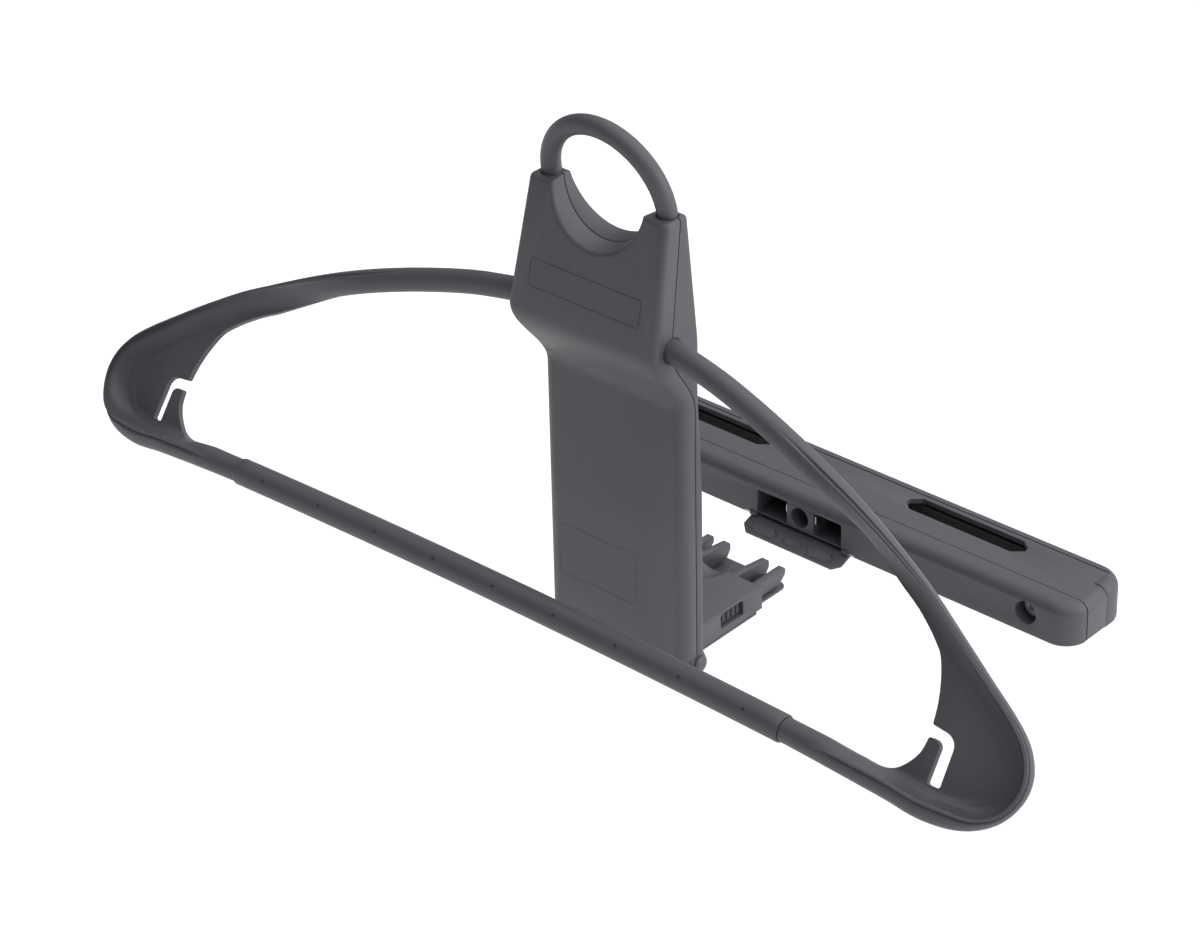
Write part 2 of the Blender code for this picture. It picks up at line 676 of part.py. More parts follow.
def shoulder_points():
    knots = [loop_point(*[value * MM for value in knot]) for knot in SHOULDER_PATH]
    start = loop_point(SLEEVE_HALF_LENGTH + GAP, rail_drop(SLEEVE_HALF_LENGTH), 0.0)
    path = smooth_path([start] + knots, 3)
    return path + [arm_knots()[1] + (arm_knots()[0] - arm_knots()[1]).normalized() * GAP]


def rim_radius(across):
    """The rim is stoutest at the tip and slimmer towards the rail and the head."""
    return blend(ROD_RADIUS, RIM_RADIUS, smooth_step(across, RIM_TAPER_START, RIM_TAPER_END))


def web_level(across):
    """The web lies flat behind the slot and bends back towards the tip."""
    beyond = max(across - WEB_BEND_START, 0.0)
    return WEB_LEVEL - WEB_BEND * beyond * beyond


def shoulder(name, side):
    bm = bmesh.new()
    points = shoulder_points()
    radii = [rim_radius(p.x) for p in points]
    points = [Vector((side * p.x, p.y, p.z)) for p in points]
    sweep(bm, points, radii, RIM_SIDES)
    obj = mesh_object(name, bm, dark_plastic(), 40)
    bm = bmesh.new()
    rings = []
    for offset in (-WEB_THICK / 2, WEB_THICK / 2):
        ring = []
        for a, b in WEB_OUTLINE:
            p = loop_point(a * MM, b * MM, web_level(a * MM) + offset)
            ring.append(Vector((side * p.x, p.y, p.z)))
        rings.append(ring)
    add_rings(bm, rings)
    bmesh.ops.triangulate(bm, faces=bm.faces)
    join(obj, cutter(name + "_web", bm))
    bm = bmesh.new()
    reach = [SLEEVE_HALF_LENGTH - MM + k * (CORE_REACH + MM + GAP) / 4 for k in range(5)]
    core = [loop_point(side * a, rail_drop(a), 0.0) for a in reach]
    sweep(bm, core, [CORE_RADIUS + GAP] * len(core), ROD_SIDES)
    return cut(obj, cutter(name + "_bore", bm))


def rail_points(half_length, count):
    places = [half_length * (2 * k / count - 1) for k in range(count + 1)]
    return [loop_point(x, rail_drop(x), 0.0) for x in places]


def rail_sleeve():
    bm = bmesh.new()
    points = rail_points(SLEEVE_HALF_LENGTH, 18)
    sweep(bm, points, [SLEEVE_RADIUS] * len(points), 16)
    obj = mesh_object("trouser_bar_sleeve", bm, dark_plastic(), 40)
    bm = bmesh.new()
    points = rail_points(SLEEVE_HALF_LENGTH + MM, 18)
    sweep(bm, points, [CORE_RADIUS + GAP] * len(points), ROD_SIDES)
    cut(obj, cutter("sleeve_bore", bm))
    bm = bmesh.new()
    for k in range(-DIMPLES_A_SIDE, DIMPLES_A_SIDE + 1):
        across = k * DIMPLE_SPACING
        axis = loop_point(across, rail_drop(across), 0.0)
        for direction in (loop_point(0, 0, 1) - LOOP_ORIGIN, loop_point(0, 1, 0) - LOOP_ORIGIN):
            near = axis + direction.normalized() * (SLEEVE_RADIUS - DIMPLE_DEPTH)
            far = axis + direction.normalized() * (SLEEVE_RADIUS + MM)
            sweep(bm, [near, far], [DIMPLE_RADIUS] * 2, 6, Vector((1.0, 0.0, 0.0)))
    return cut(obj, cutter("dimples", bm))


def rail_core():
    bm = bmesh.new()
    points = rail_points(SLEEVE_HALF_LENGTH + CORE_REACH, 18)
    sweep(bm, points, [CORE_RADIUS] * len(points), ROD_SIDES)
    return mesh_object("trouser_bar_core", bm, steel(), 40)


def hinge_pin():
    """Pin across the mast's bottom, with a round head at each end."""
    end = MAST_HALF_WIDTH
    rings = []
    for x, radius in ((-end - PIN_HEAD, PIN_HEAD_RADIUS - PIN_CROWN),
                      (-end - 0.5 * PIN_HEAD, PIN_HEAD_RADIUS), (-end, PIN_HEAD_RADIUS),
                      (-end, PIN_RADIUS), (end, PIN_RADIUS), (end, PIN_HEAD_RADIUS),
                      (end + 0.5 * PIN_HEAD, PIN_HEAD_RADIUS),
                      (end + PIN_HEAD, PIN_HEAD_RADIUS - PIN_CROWN)):
        rings.append([Vector((x, y, z)) for y, z in circle((PIN_Y, PIN_Z), radius, 16)])
    bm = bmesh.new()
    add_rings(bm, rings)
    return mesh_object("hinge_pin", bm, inner_plastic(), 40)


def plug_body():
    """The plug's moulding: hinge barrel, hollow box, four prongs."""
    lift = MAST_BOTTOM - GAP
    outline = [(HEEL_FRONT, PLUG_FLOOR + 2 * MM), (HEEL_FRONT + 2 * MM, PLUG_FLOOR),
               (PLUG_BACK, PLUG_FLOOR), (PLUG_BACK, PLUG_TOP - MM), (PLUG_BACK - MM, PLUG_TOP),
               (PIN_Y + HEEL_SLOPE[1], PLUG_TOP), (PIN_Y + HEEL_SLOPE[0], lift), (HEEL_FRONT, lift)]
    bm = bmesh.new()
    add_prism(bm, outline, "X", -PLUG_HALF_WIDTH, PLUG_HALF_WIDTH)
    obj = mesh_object("plug_body", bm, dark_plastic(), 30)
    bm = bmesh.new()
    for side in (-1, 1):
        low, high = sorted((side * PRONG_INNER[0], side * PRONG_INNER[1]))
        add_prism(bm, prong_outline(PLUG_BACK - 4 * MM), "X", low, high)
    join(obj, cutter("inner_prongs", bm))
    bm = bmesh.new()
    for side in (-1, 1):
        low, high = sorted((side * (PLUG_HALF_WIDTH - EPS), side * (PLUG_HALF_WIDTH + BOSS_REACH)))
        add_prism(bm, circle((PIN_Y, PIN_Z), PIN_HEAD_RADIUS, 16), "X", low, high)
    join(obj, cutter("hinge_bosses", bm))
    bm = bmesh.new()
    add_box(bm, (-PLUG_HALF_WIDTH + PLUG_WALL, PLUG_MOUTH, PLUG_FLOOR - MM),
            (PLUG_HALF_WIDTH - PLUG_WALL, PLUG_BACK - PLUG_WALL, PLUG_TOP - PLUG_WALL))
    cut(obj, cutter("plug_hollow", bm))
    bm = bmesh.new()
    add_box(bm, (-SPRING_RIB_HALF, BUTTON_Y - BUTTON_HALF_LENGTH, PLUG_FLOOR + MM),
            (SPRING_RIB_HALF, BUTTON_Y + BUTTON_HALF_LENGTH, PLUG_TOP - MM))
    join(obj, cutter("spring_rib", bm))
    bm = bmesh.new()
    for side in (-1, 1):
        low, high = sorted((side * (PRONG_OUTER[1] - BUTTON_TRAVEL), side * (PLUG_HALF_WIDTH + MM)))
        add_box(bm, (low, BUTTON_Y - BUTTON_HALF_LENGTH - GAP, BUTTON_LOW - GAP),
                (high, BUTTON_Y + BUTTON_HALF_LENGTH + GAP, BUTTON_HIGH + GAP))
        low, high = sorted((side * (PRONG_OUTER[0] - BUTTON_TRAVEL - 2 * GAP),
                            side * (PRONG_OUTER[1] + 2 * GAP)))
        add_box(bm, (low, PLUG_BACK - PLUG_WALL - MM, PLUG_FLOOR - EPS),
                (high, PLUG_BACK + MM, PRONG_ROOT_TOP - FIN_DROP + GAP))
    cut(obj, cutter("button_windows", bm))
    bm = bmesh.new()
    add_prism(bm, circle((PIN_Y, PIN_Z), PIN_RADIUS + GAP / 2, 16), "X",
              -PLUG_HALF_WIDTH - BOSS_REACH - MM, PLUG_HALF_WIDTH + BOSS_REACH + MM)
    return cut(obj, cutter("plug_pin_bore", bm))


def prong_outline(root):
    """Side view of a prong, with its tip drawn in."""
    return [(root, PLUG_FLOOR + MM), (PLUG_TIP - 2 * MM, PLUG_FLOOR + MM), (PLUG_TIP, PRONG_TIP_LOW),
            (PLUG_TIP, PRONG_TOP - MM), (PLUG_TIP - MM, PRONG_TOP),
            (PLUG_BACK + 3 * MM, PRONG_ROOT_TOP), (root, PRONG_ROOT_TOP)]


def plug_plate():
    """Thin plate that closes the plug's underside and runs out below its prongs."""
    half = PLUG_HALF_WIDTH
    tip_half = WINDOW_OUTER - 2 * GAP
    narrow = PLUG_BACK - FLAP_KNUCKLE
    outline = [(-half, HEEL_FRONT + 2 * MM), (half, HEEL_FRONT + 2 * MM), (half, narrow - 2 * MM),
               (tip_half, narrow), (tip_half, PLUG_TIP - 3 * MM), (tip_half - 3 * MM, PLUG_TIP),
               (-tip_half + 3 * MM, PLUG_TIP), (-tip_half, PLUG_TIP - 3 * MM),
               (-tip_half, narrow), (-half, narrow - 2 * MM)]
    bm = bmesh.new()
    add_prism(bm, outline, "Z", PLUG_FLOOR - GAP - PLUG_PLATE, PLUG_FLOOR - GAP)
    return mesh_object("plug_base_plate", bm, dark_plastic())


def latch_fin(name, side):
    """Sprung arm inside the plug that ends in the outer prong."""
    low, high = sorted((side * PRONG_OUTER[0], side * PRONG_OUTER[1]))
    top = PRONG_ROOT_TOP - FIN_DROP
    outline = [(BUTTON_Y - BUTTON_HALF_LENGTH, PLUG_FLOOR + MM), (PLUG_TIP - 2 * MM, PLUG_FLOOR + MM),
               (PLUG_TIP, PRONG_TIP_LOW), (PLUG_TIP, PRONG_TOP - MM), (PLUG_TIP - MM, PRONG_TOP),
               (PLUG_BACK + 2 * MM, PRONG_TOP), (PLUG_BACK + MM, top),
               (BUTTON_Y - BUTTON_HALF_LENGTH, top)]
    bm = bmesh.new()
    add_prism(bm, outline, "X", low, high)
    return mesh_object(name, bm, dark_plastic())


def release_button(name, side):
    """Ribbed pad in the plug's side wall."""
    face = PLUG_HALF_WIDTH - BUTTON_SINK
    back = PRONG_OUTER[1] + GAP
    low, high = sorted((side * back, side * face))
    bm = bmesh.new()
    add_box(bm, (low, BUTTON_Y - BUTTON_HALF_LENGTH, BUTTON_LOW),
            (high, BUTTON_Y + BUTTON_HALF_LENGTH, BUTTON_HIGH))
    obj = mesh_object(name, bm, inner_plastic())
    bm = bmesh.new()
    pitch = 2 * BUTTON_HALF_LENGTH / (2 * BUTTON_RIBS + 1)
    for k in range(BUTTON_RIBS):
        start = BUTTON_Y - BUTTON_HALF_LENGTH + (2 * k + 1) * pitch
        low, high = sorted((side * (face - EPS), side * (face + RIB_HEIGHT)))
        add_box(bm, (low, start, BUTTON_LOW + MM), (high, start + pitch, BUTTON_HIGH - MM))
    return join(obj, cutter(name + "_ribs", bm))


def button_spring(name, side):
    """Coil between the latch arm and the plug's middle rib."""
    outer = PRONG_OUTER[0] - GAP
    inner = outer - SPRING_LENGTH
    points = []
    for k in range(SPRING_TURNS * SPRING_STEPS + 1):
        a = 2 * math.pi * k / SPRING_STEPS
        x = blend(inner + SPRING_WIRE, outer - SPRING_WIRE, k / (SPRING_TURNS * SPRING_STEPS))
        points.append(Vector((side * x, BUTTON_Y + SPRING_RADIUS * math.cos(a),
                              SPRING_Z + SPRING_RADIUS * math.sin(a))))
    bm = bmesh.new()
    sweep(bm, points, [SPRING_WIRE] * len(points), 5, Vector((1.0, 0.0, 0.0)))
    return mesh_object(name, bm, steel(), 60)


def envelope_ring(z, inset, rounds):
    """The clamp unit's outline at a height, drawn in by a share of each edge's rounding."""
    front_round, back_round, end_round = rounds
    front = BASE_FRONT + inset * front_round
    back = BASE_BACK - inset * back_round
    half = BASE_HALF_LENGTH - inset * end_round
    radius = BASE_CORNER - inset * min(rounds)
    points = []
    for cx, cy, quarter in ((half - radius, back - radius, 0), (-half + radius, back - radius, 1),
                            (-half + radius, front + radius, 2), (half - radius, front + radius, 3)):
        for k in range(CORNER_STEPS + 1):
            a = math.pi / 2 * (quarter + k / CORNER_STEPS)
            points.append(Vector((cx + radius * math.cos(a), cy + radius * math.sin(a), z)))
    return points


def envelope(bm, shrink=0.0):
    """The clamp unit's whole outer form, or the same form made a little thinner."""
    high = BASE_HALF_HEIGHT - shrink
    rings = []
    for k in range(EDGE_STEPS + 1):
        a = math.pi / 2 * k / EDGE_STEPS
        z = -high + BASE_LOWER_ROUND * (1 - math.cos(a))
        rings.append(envelope_ring(z, 1 - math.sin(a), (BASE_LOWER_ROUND,) * 3))
    upper = (BASE_FRONT_ROUND, BASE_BACK_ROUND, BASE_END_ROUND)
    for k in range(EDGE_STEPS + 1):
        a = math.pi / 2 * k / EDGE_STEPS
        z = high - BASE_UPPER_ROUND * (1 - math.sin(a))
        rings.append(envelope_ring(z, 1 - math.cos(a), upper))
    add_rings(bm, rings)


def inner_hollow(bm, front, back):
    add_box(bm, (-BASE_HALF_LENGTH + BASE_END_WALL, front, -BASE_HALF_HEIGHT + BASE_WALL),
            (BASE_HALF_LENGTH - BASE_END_WALL, back, BASE_HALF_HEIGHT - BASE_WALL))


def base_front_shell():
    bm = bmesh.new()
    envelope(bm)
    obj = mesh_object("base_front_shell", bm, dark_plastic(), 30)
    bm = bmesh.new()
    add_box(bm, (-2 * BASE_HALF_LENGTH, BASE_FRONT - MM, -2 * BASE_HALF_HEIGHT),
            (2 * BASE_HALF_LENGTH, FRONT_SEAM - GAP / 2, 2 * BASE_HALF_HEIGHT))
    keep(obj, cutter("front_region", bm))
    bm = bmesh.new()
    inner_hollow(bm, BASE_FRONT + BASE_WALL, FRONT_SEAM + MM)
    cut(obj, cutter("front_shell_hollow", bm))
    bm = bmesh.new()
    for side in (-1, 1):
        add_prism(bm, circle((side * SCREW_X, SCREW_Z), SCREW_HOLE_RADIUS + SCREW_TOWER_WALL, 20), "Y",
                  BASE_FRONT + BASE_WALL - EPS, FRONT_SEAM - GAP / 2)
    join(obj, cutter("screw_towers", bm))
    bm = bmesh.new()
    for side in (-1, 1):
        seat = BASE_FRONT + SCREW_SINK + SCREW_HEAD_HEIGHT + GAP
        add_prism(bm, circle((side * SCREW_X, SCREW_Z), SCREW_HOLE_RADIUS, 20), "Y",
                  BASE_FRONT - MM, seat)
    cut(obj, cutter("screw_wells", bm))
    bm = bmesh.new()
    for side in (-1, 1):
        add_prism(bm, circle((side * SCREW_X, SCREW_Z), SCREW_SHANK_RADIUS + GAP, 12), "Y",
                  BASE_FRONT, FRONT_SEAM + MM)
    cut(obj, cutter("screw_ways", bm))
    bm = bmesh.new()
    add_box(bm, (-WINDOW_OUTER, BASE_FRONT - MM, -BASE_HALF_HEIGHT - MM),
            (WINDOW_OUTER, BASE_FRONT + BASE_WALL + MM, WINDOW_TOP))
    cut(obj, cutter("socket_mouth", bm))
    bm = bmesh.new()
    add_box(bm, (-WINDOW_OUTER, BASE_FRONT, -BASE_HALF_HEIGHT - MM),
            (WINDOW_OUTER, FRONT_SEAM + MM, SILL))
    cut(obj, cutter("socket_undercut", bm))
    bm = bmesh.new()
    for side in (-1, 1):
        low, high = sorted((side * (WINDOW_OUTER - EPS), side * (FLAP_HALF_WIDTH + GAP)))
        add_box(bm, (low, BASE_FRONT - MM, -BASE_HALF_HEIGHT - MM),
                (high, flap_pin_y() + FLAP_KNUCKLE + GAP, FLAP_PIN_Z + FLAP_KNUCKLE + GAP))
    cut(obj, cutter("flap_pockets", bm))
    bm = bmesh.new()
    for side in (-1, 1):
        low, high = sorted((side * FLAP_HALF_WIDTH, side * (flap_pin_end() + GAP)))
        add_prism(bm, circle((flap_pin_y(), FLAP_PIN_Z), FLAP_PIN_RADIUS + GAP / 2, 10), "X", low, high)
    return cut(obj, cutter("flap_pin_bores", bm))


def flap_pin_y():
    return BASE_FRONT + FLAP_PIN_SINK


def flap_pin_end():
    return FLAP_HALF_WIDTH + GAP + FLAP_PIN_REACH


def flap_place(reach, height):
    """A point of the open flap in side view: so far out along it, so far above its pin."""
    y = flap_pin_y() - reach * math.cos(FLAP_DROOP) - height * math.sin(FLAP_DROOP)
    return (y, FLAP_PIN_Z - reach * math.sin(FLAP_DROOP) + height * math.cos(FLAP_DROOP))


def hex_slot(side):
    """A post slot seen from above: straight sides and pointed ends."""
    half = SLOT_WIDTH / 2
    points = [(SLOT_INNER, -SLOT_BLUNT), (SLOT_INNER + SLOT_POINT, -half),
              (SLOT_OUTER - SLOT_POINT, -half), (SLOT_OUTER, -SLOT_BLUNT), (SLOT_OUTER, SLOT_BLUNT),
              (SLOT_OUTER - SLOT_POINT, half), (SLOT_INNER + SLOT_POINT, half),
              (SLOT_INNER, SLOT_BLUNT)]
    return [(side * x, y) for x, y in points]


def slot_cutter(name, low, high):
    bm = bmesh.new()
    for side in (-1, 1):
        add_prism(bm, hex_slot(side), "Z", low, high)
    return cutter(name, bm)


def region_cutter(name, low_y, high_y, end_y):
    """The stretch of the clamp unit that the frame fills: its ends stop at the jaw's wraps."""
    inner = BASE_HALF_LENGTH - JAW_END_LENGTH
    outline = [(-2 * BASE_HALF_LENGTH, low_y), (2 * BASE_HALF_LENGTH, low_y),
               (2 * BASE_HALF_LENGTH, end_y), (inner, end_y), (inner, high_y),
               (-inner, high_y), (-inner, end_y), (-2 * BASE_HALF_LENGTH, end_y)]
    bm = bmesh.new()
    add_prism(bm, outline, "Z", -2 * BASE_HALF_HEIGHT, 2 * BASE_HALF_HEIGHT)
    return cutter(name, bm)


def base_frame():
    """Middle of the clamp unit: the top plate with the post slots, end walls and ribs."""
    bm = bmesh.new()
    envelope(bm, PLATE_INSET)
    obj = mesh_object("base_frame", bm, dark_plastic(), 30)
    keep(obj, region_cutter("frame_region", FRONT_SEAM + GAP / 2, BACK_SEAM - GAP / 2,
                            JAW_END_SEAM - GAP / 2))
    bm = bmesh.new()
    add_box(bm, (-FRAME_HOLLOW_HALF, FRONT_SEAM - MM, -2 * BASE_HALF_HEIGHT),
            (FRAME_HOLLOW_HALF, BACK_SEAM + MM, BASE_HALF_HEIGHT - BASE_WALL))
    cut(obj, cutter("frame_hollow", bm))
    bm = bmesh.new()
    for side in (-1, 1):
        low, high = sorted((side * (SLOT_INNER - RIB_OVERLAP), side * (SLOT_OUTER + RIB_OVERLAP)))
        add_box(bm, (low, RIB_FRONT, -BASE_HALF_HEIGHT + BASE_WALL + GAP),
                (high, RIB_FRONT + RIB_THICK, BASE_HALF_HEIGHT - BASE_WALL + EPS))
    join(obj, cutter("frame_ribs", bm))
    return cut(obj, slot_cutter("frame_slots", -2 * BASE_HALF_HEIGHT, 2 * BASE_HALF_HEIGHT))


def base_bottom_plate():
    """Cover under the frame, with the same two slots."""
    bm = bmesh.new()
    half = FRAME_HOLLOW_HALF - GAP
    outline = [(-half, FRONT_SEAM + GAP), (half, FRONT_SEAM + GAP), (half, BACK_SEAM - GAP),
               (-half, BACK_SEAM - GAP)]
    add_prism(bm, outline, "Z", -BASE_HALF_HEIGHT + PLATE_INSET, -BASE_HALF_HEIGHT + BASE_WALL)
    obj = mesh_object("base_bottom_plate", bm, dark_plastic())
    bm = bmesh.new()
    add_box(bm, (-SOCKET_HALF_WIDTH, FRONT_SEAM - MM, -2 * BASE_HALF_HEIGHT),
            (SOCKET_HALF_WIDTH, SOCKET_BACK + GAP, 0.0))
    cut(obj, cutter("bottom_socket_room", bm))
    return cut(obj, slot_cutter("bottom_slots", -2 * BASE_HALF_HEIGHT, 2 * BASE_HALF_HEIGHT))


def clamp_jaw():
    """Rear shell that the two screws draw towards the posts."""
    bm = bmesh.new()
    envelope(bm)
    obj = mesh_object("clamp_jaw", bm, dark_plastic(), 30)
    inner = BASE_HALF_LENGTH - JAW_END_LENGTH
    bm = bmesh.new()
    far = BASE_BACK + MM
    outline = [(-2 * BASE_HALF_LENGTH, JAW_END_SEAM + GAP / 2), (-inner - GAP, JAW_END_SEAM + GAP / 2),
               (-inner - GAP, BACK_SEAM + GAP / 2), (inner + GAP, BACK_SEAM + GAP / 2),
               (inner + GAP, JAW_END_SEAM + GAP / 2), (2 * BASE_HALF_LENGTH, JAW_END_SEAM + GAP / 2),
               (2 * BASE_HALF_LENGTH, far), (-2 * BASE_HALF_LENGTH, far)]
    add_prism(bm, outline, "Z", -2 * BASE_HALF_HEIGHT, 2 * BASE_HALF_HEIGHT)
    keep(obj, cutter("jaw_region", bm))
    bm = bmesh.new()
    for side in (-1, 1):
        add_box(bm, (side * SCREW_X - NUT_BLOCK_HALF, nut_front() - 2 * MM, -NUT_BLOCK_HALF),
                (side * SCREW_X + NUT_BLOCK_HALF, BACK_SEAM + MM, NUT_BLOCK_HALF))
        low, high = sorted((side * (SLOT_INNER + SLOT_POINT), side * (SLOT_OUTER - SLOT_POINT)))
        add_box(bm, (low, SLOT_WIDTH / 2 - PAD_REACH + PAD_DEPTH + GAP, -PAD_HALF_HEIGHT),
                (high, BACK_SEAM + MM, PAD_HALF_HEIGHT))
    join(obj, cutter("jaw_blocks", bm))
    bm = bmesh.new()
    for side in (-1, 1):
        radius = NUT_RADIUS + GAP
        hexagon = circle((side * SCREW_X, SCREW_Z), radius, 6)
        above = NUT_BLOCK_HALF + MM
        pocket = [(side * SCREW_X + radius, above), (side * SCREW_X - radius, above)] + hexagon[3:]
        add_prism(bm, pocket + hexagon[:1], "Y", nut_front() - GAP, nut_front() + NUT_HEIGHT + GAP)
    cut(obj, cutter("nut_pockets", bm))
    bm = bmesh.new()
    for side in (-1, 1):
        add_prism(bm, circle((side * SCREW_X, SCREW_Z), SCREW_SHANK_RADIUS + GAP, 12), "Y",
                  nut_front() - 3 * MM, screw_end() + GAP)
    return cut(obj, cutter("jaw_screw_ways", bm))


def screw_seat():
    return BASE_FRONT + SCREW_SINK + SCREW_HEAD_HEIGHT


def screw_end():
    return screw_seat() + SCREW_LENGTH


def nut_front():
    return BACK_SEAM - NUT_HEIGHT - NUT_COVER


def clamp_screw(name, side):
    """Socket-head screw that turns in the front shell."""
    place = (side * SCREW_X, SCREW_Z)
    head = screw_seat() - SCREW_HEAD_HEIGHT
    obj = turned_y(name, place, (
        (SCREW_HEAD_RADIUS, head), (SCREW_HEAD_RADIUS, screw_seat()),
        (SCREW_SHANK_RADIUS, screw_seat()), (SCREW_SHANK_RADIUS, screw_end())), 18, steel())
    bm = bmesh.new()
    add_prism(bm, circle(place, HEX_RADIUS, 6), "Y", head - MM, head + HEX_DEPTH)
    return cut(obj, cutter(name + "_hexagon", bm))


def clamp_nut(name, side):
    place = (side * SCREW_X, SCREW_Z)
    bm = bmesh.new()
    add_prism(bm, circle(place, NUT_RADIUS, 6), "Y", nut_front(), nut_front() + NUT_HEIGHT)
    obj = mesh_object(name, bm, steel())
    bm = bmesh.new()
    add_prism(bm, circle(place, SCREW_SHANK_RADIUS + GAP / 3, 18), "Y", nut_front() - MM,
              nut_front() + NUT_HEIGHT + MM)
    return cut(obj, cutter(name + "_bore", bm))


def post_pad(name, side, front):
    """Rubber strip beside a slot, from a depth backwards."""
    low, high = sorted((side * (SLOT_INNER + SLOT_POINT), side * (SLOT_OUTER - SLOT_POINT)))
    bm = bmesh.new()
    add_box(bm, (low, front, -PAD_HALF_HEIGHT), (high, front + PAD_DEPTH, PAD_HALF_HEIGHT))
    return mesh_object(name, bm, rubber())


def socket_block():
    """Moulding behind the socket's mouth, with two windows, a nose and a screw hole."""
    bm = bmesh.new()
    add_box(bm, (-SOCKET_HALF_WIDTH + GAP, BASE_FRONT + BASE_WALL + GAP, SILL),
            (SOCKET_HALF_WIDTH - GAP, SOCKET_BACK, SOCKET_TOP))
    obj = mesh_object("socket_block", bm, inner_plastic())
    bm = bmesh.new()
    add_box(bm, (-SOCKET_NOSE_HALF, BASE_FRONT + SOCKET_NOSE_SINK, SILL),
            (SOCKET_NOSE_HALF, BASE_FRONT + BASE_WALL + MM, WINDOW_TOP - GAP))
    join(obj, cutter("socket_nose", bm))
    bm = bmesh.new()
    for side in (-1, 1):
        low, high = sorted((side * WINDOW_INNER, side * WINDOW_OUTER))
        add_box(bm, (low, BASE_FRONT - MM, SILL - MM), (high, SOCKET_BACK + MM, WINDOW_TOP))
    cut(obj, cutter("socket_windows", bm))
    bm = bmesh.new()
    add_prism(bm, circle((0.0, SOCKET_HOLE_Z), SOCKET_HOLE_RADIUS, 20), "Y", BASE_FRONT - MM,
              BASE_FRONT + SOCKET_HOLE_DEPTH)
    cut(obj, cutter("socket_hole", bm))
    bm = bmesh.new()
    add_prism(bm, circle((0.0, SOCKET_HOLE_Z), PILOT_RADIUS + GAP, 10), "Y", BASE_FRONT,
              SOCKET_BACK + MM)
    return cut(obj, cutter("socket_screw_way", bm))


def socket_screw():
    seat = BASE_FRONT + SOCKET_HOLE_DEPTH - GAP
    head = seat - SOCKET_SCREW_HEAD
    return turned_y("socket_screw", (0.0, SOCKET_HOLE_Z), (
        (SOCKET_SCREW_RADIUS, head), (SOCKET_SCREW_RADIUS, seat), (PILOT_RADIUS, seat),
        (PILOT_RADIUS, SOCKET_BACK - GAP)), 14, steel())


def catch_spring(name, side):
    """Steel leaf across the back of a window."""
    middle = side * (WINDOW_INNER + WINDOW_OUTER) / 2
    y = SOCKET_BACK + GAP
    bm = bmesh.new()
    add_box(bm, (middle - CATCH_HALF_WIDTH, y, SILL + MM),
            (middle + CATCH_HALF_WIDTH, y + CATCH_THICK, BASE_HALF_HEIGHT - BASE_WALL - GAP))
    return mesh_object(name, bm, steel())


def socket_flap():
    """Lid of the socket, hinged along its lower edge and drawn open."""
    top, low = -FLAP_OFFSET, -FLAP_OFFSET - FLAP_THICK
    tip, root = FLAP_LENGTH, FLAP_ROOT
    rings = []
    for height in (low, top):
        ring = []
        for across, reach in ((-FLAP_HALF_WIDTH, root), (FLAP_HALF_WIDTH, root),
                              (FLAP_HALF_WIDTH, tip - FLAP_CHAMFER),
                              (FLAP_HALF_WIDTH - FLAP_CHAMFER, tip),
                              (-FLAP_HALF_WIDTH + FLAP_CHAMFER, tip),
                              (-FLAP_HALF_WIDTH, tip - FLAP_CHAMFER)):
            ring.append(Vector((across, *flap_place(reach, height))))
        rings.append(ring)
    bm = bmesh.new()
    add_rings(bm, rings)
    obj = mesh_object("socket_flap", bm, dark_plastic())
    bm = bmesh.new()
    knuckle = circle((flap_pin_y(), FLAP_PIN_Z), FLAP_KNUCKLE, 12)
    for side in (-1, 1):
        low_x, high_x = sorted((side * FLAP_ARM_INNER, side * (FLAP_HALF_WIDTH - EPS)))
        add_prism(bm, knuckle, "X", low_x, high_x)
    join(obj, cutter("flap_knuckles", bm))
    bm = bmesh.new()
    for side in (-1, 1):
        middle = side * (WINDOW_INNER + WINDOW_OUTER) / 2
        rings = []
        for inset, height in ((0.0, top - EPS), (FLAP_BLOCK_TAPER, top + FLAP_BLOCK_HEIGHT)):
            half = (WINDOW_OUTER - WINDOW_INNER) / 2 - 2 * GAP - inset
            near, far = FLAP_BLOCK_START + inset, FLAP_LENGTH - MM - inset
            rings.append([Vector((middle + a * half, *flap_place(reach, height)))
                          for a, reach in ((-1, near), (1, near), (1, far), (-1, far))])
        add_rings(bm, rings)
    join(obj, cutter("flap_blocks", bm))
    bm = bmesh.new()
    for side in (-1, 1):
        low_x, high_x = sorted((side * (FLAP_ARM_INNER - MM), side * (FLAP_HALF_WIDTH + MM)))
        add_prism(bm, circle((flap_pin_y(), FLAP_PIN_Z), FLAP_PIN_RADIUS + GAP / 2, 10), "X",
                  low_x, high_x)
    return cut(obj, cutter("flap_bores", bm))


def flap_pin(name, side):
    """Short pin of the flap, one to each arm."""
    low, high = sorted((side * FLAP_ARM_INNER, side * flap_pin_end()))
    bm = bmesh.new()
    add_prism(bm, circle((flap_pin_y(), FLAP_PIN_Z), FLAP_PIN_RADIUS, 10), "X", low, high)
    return mesh_object(name, bm, steel(), 40)


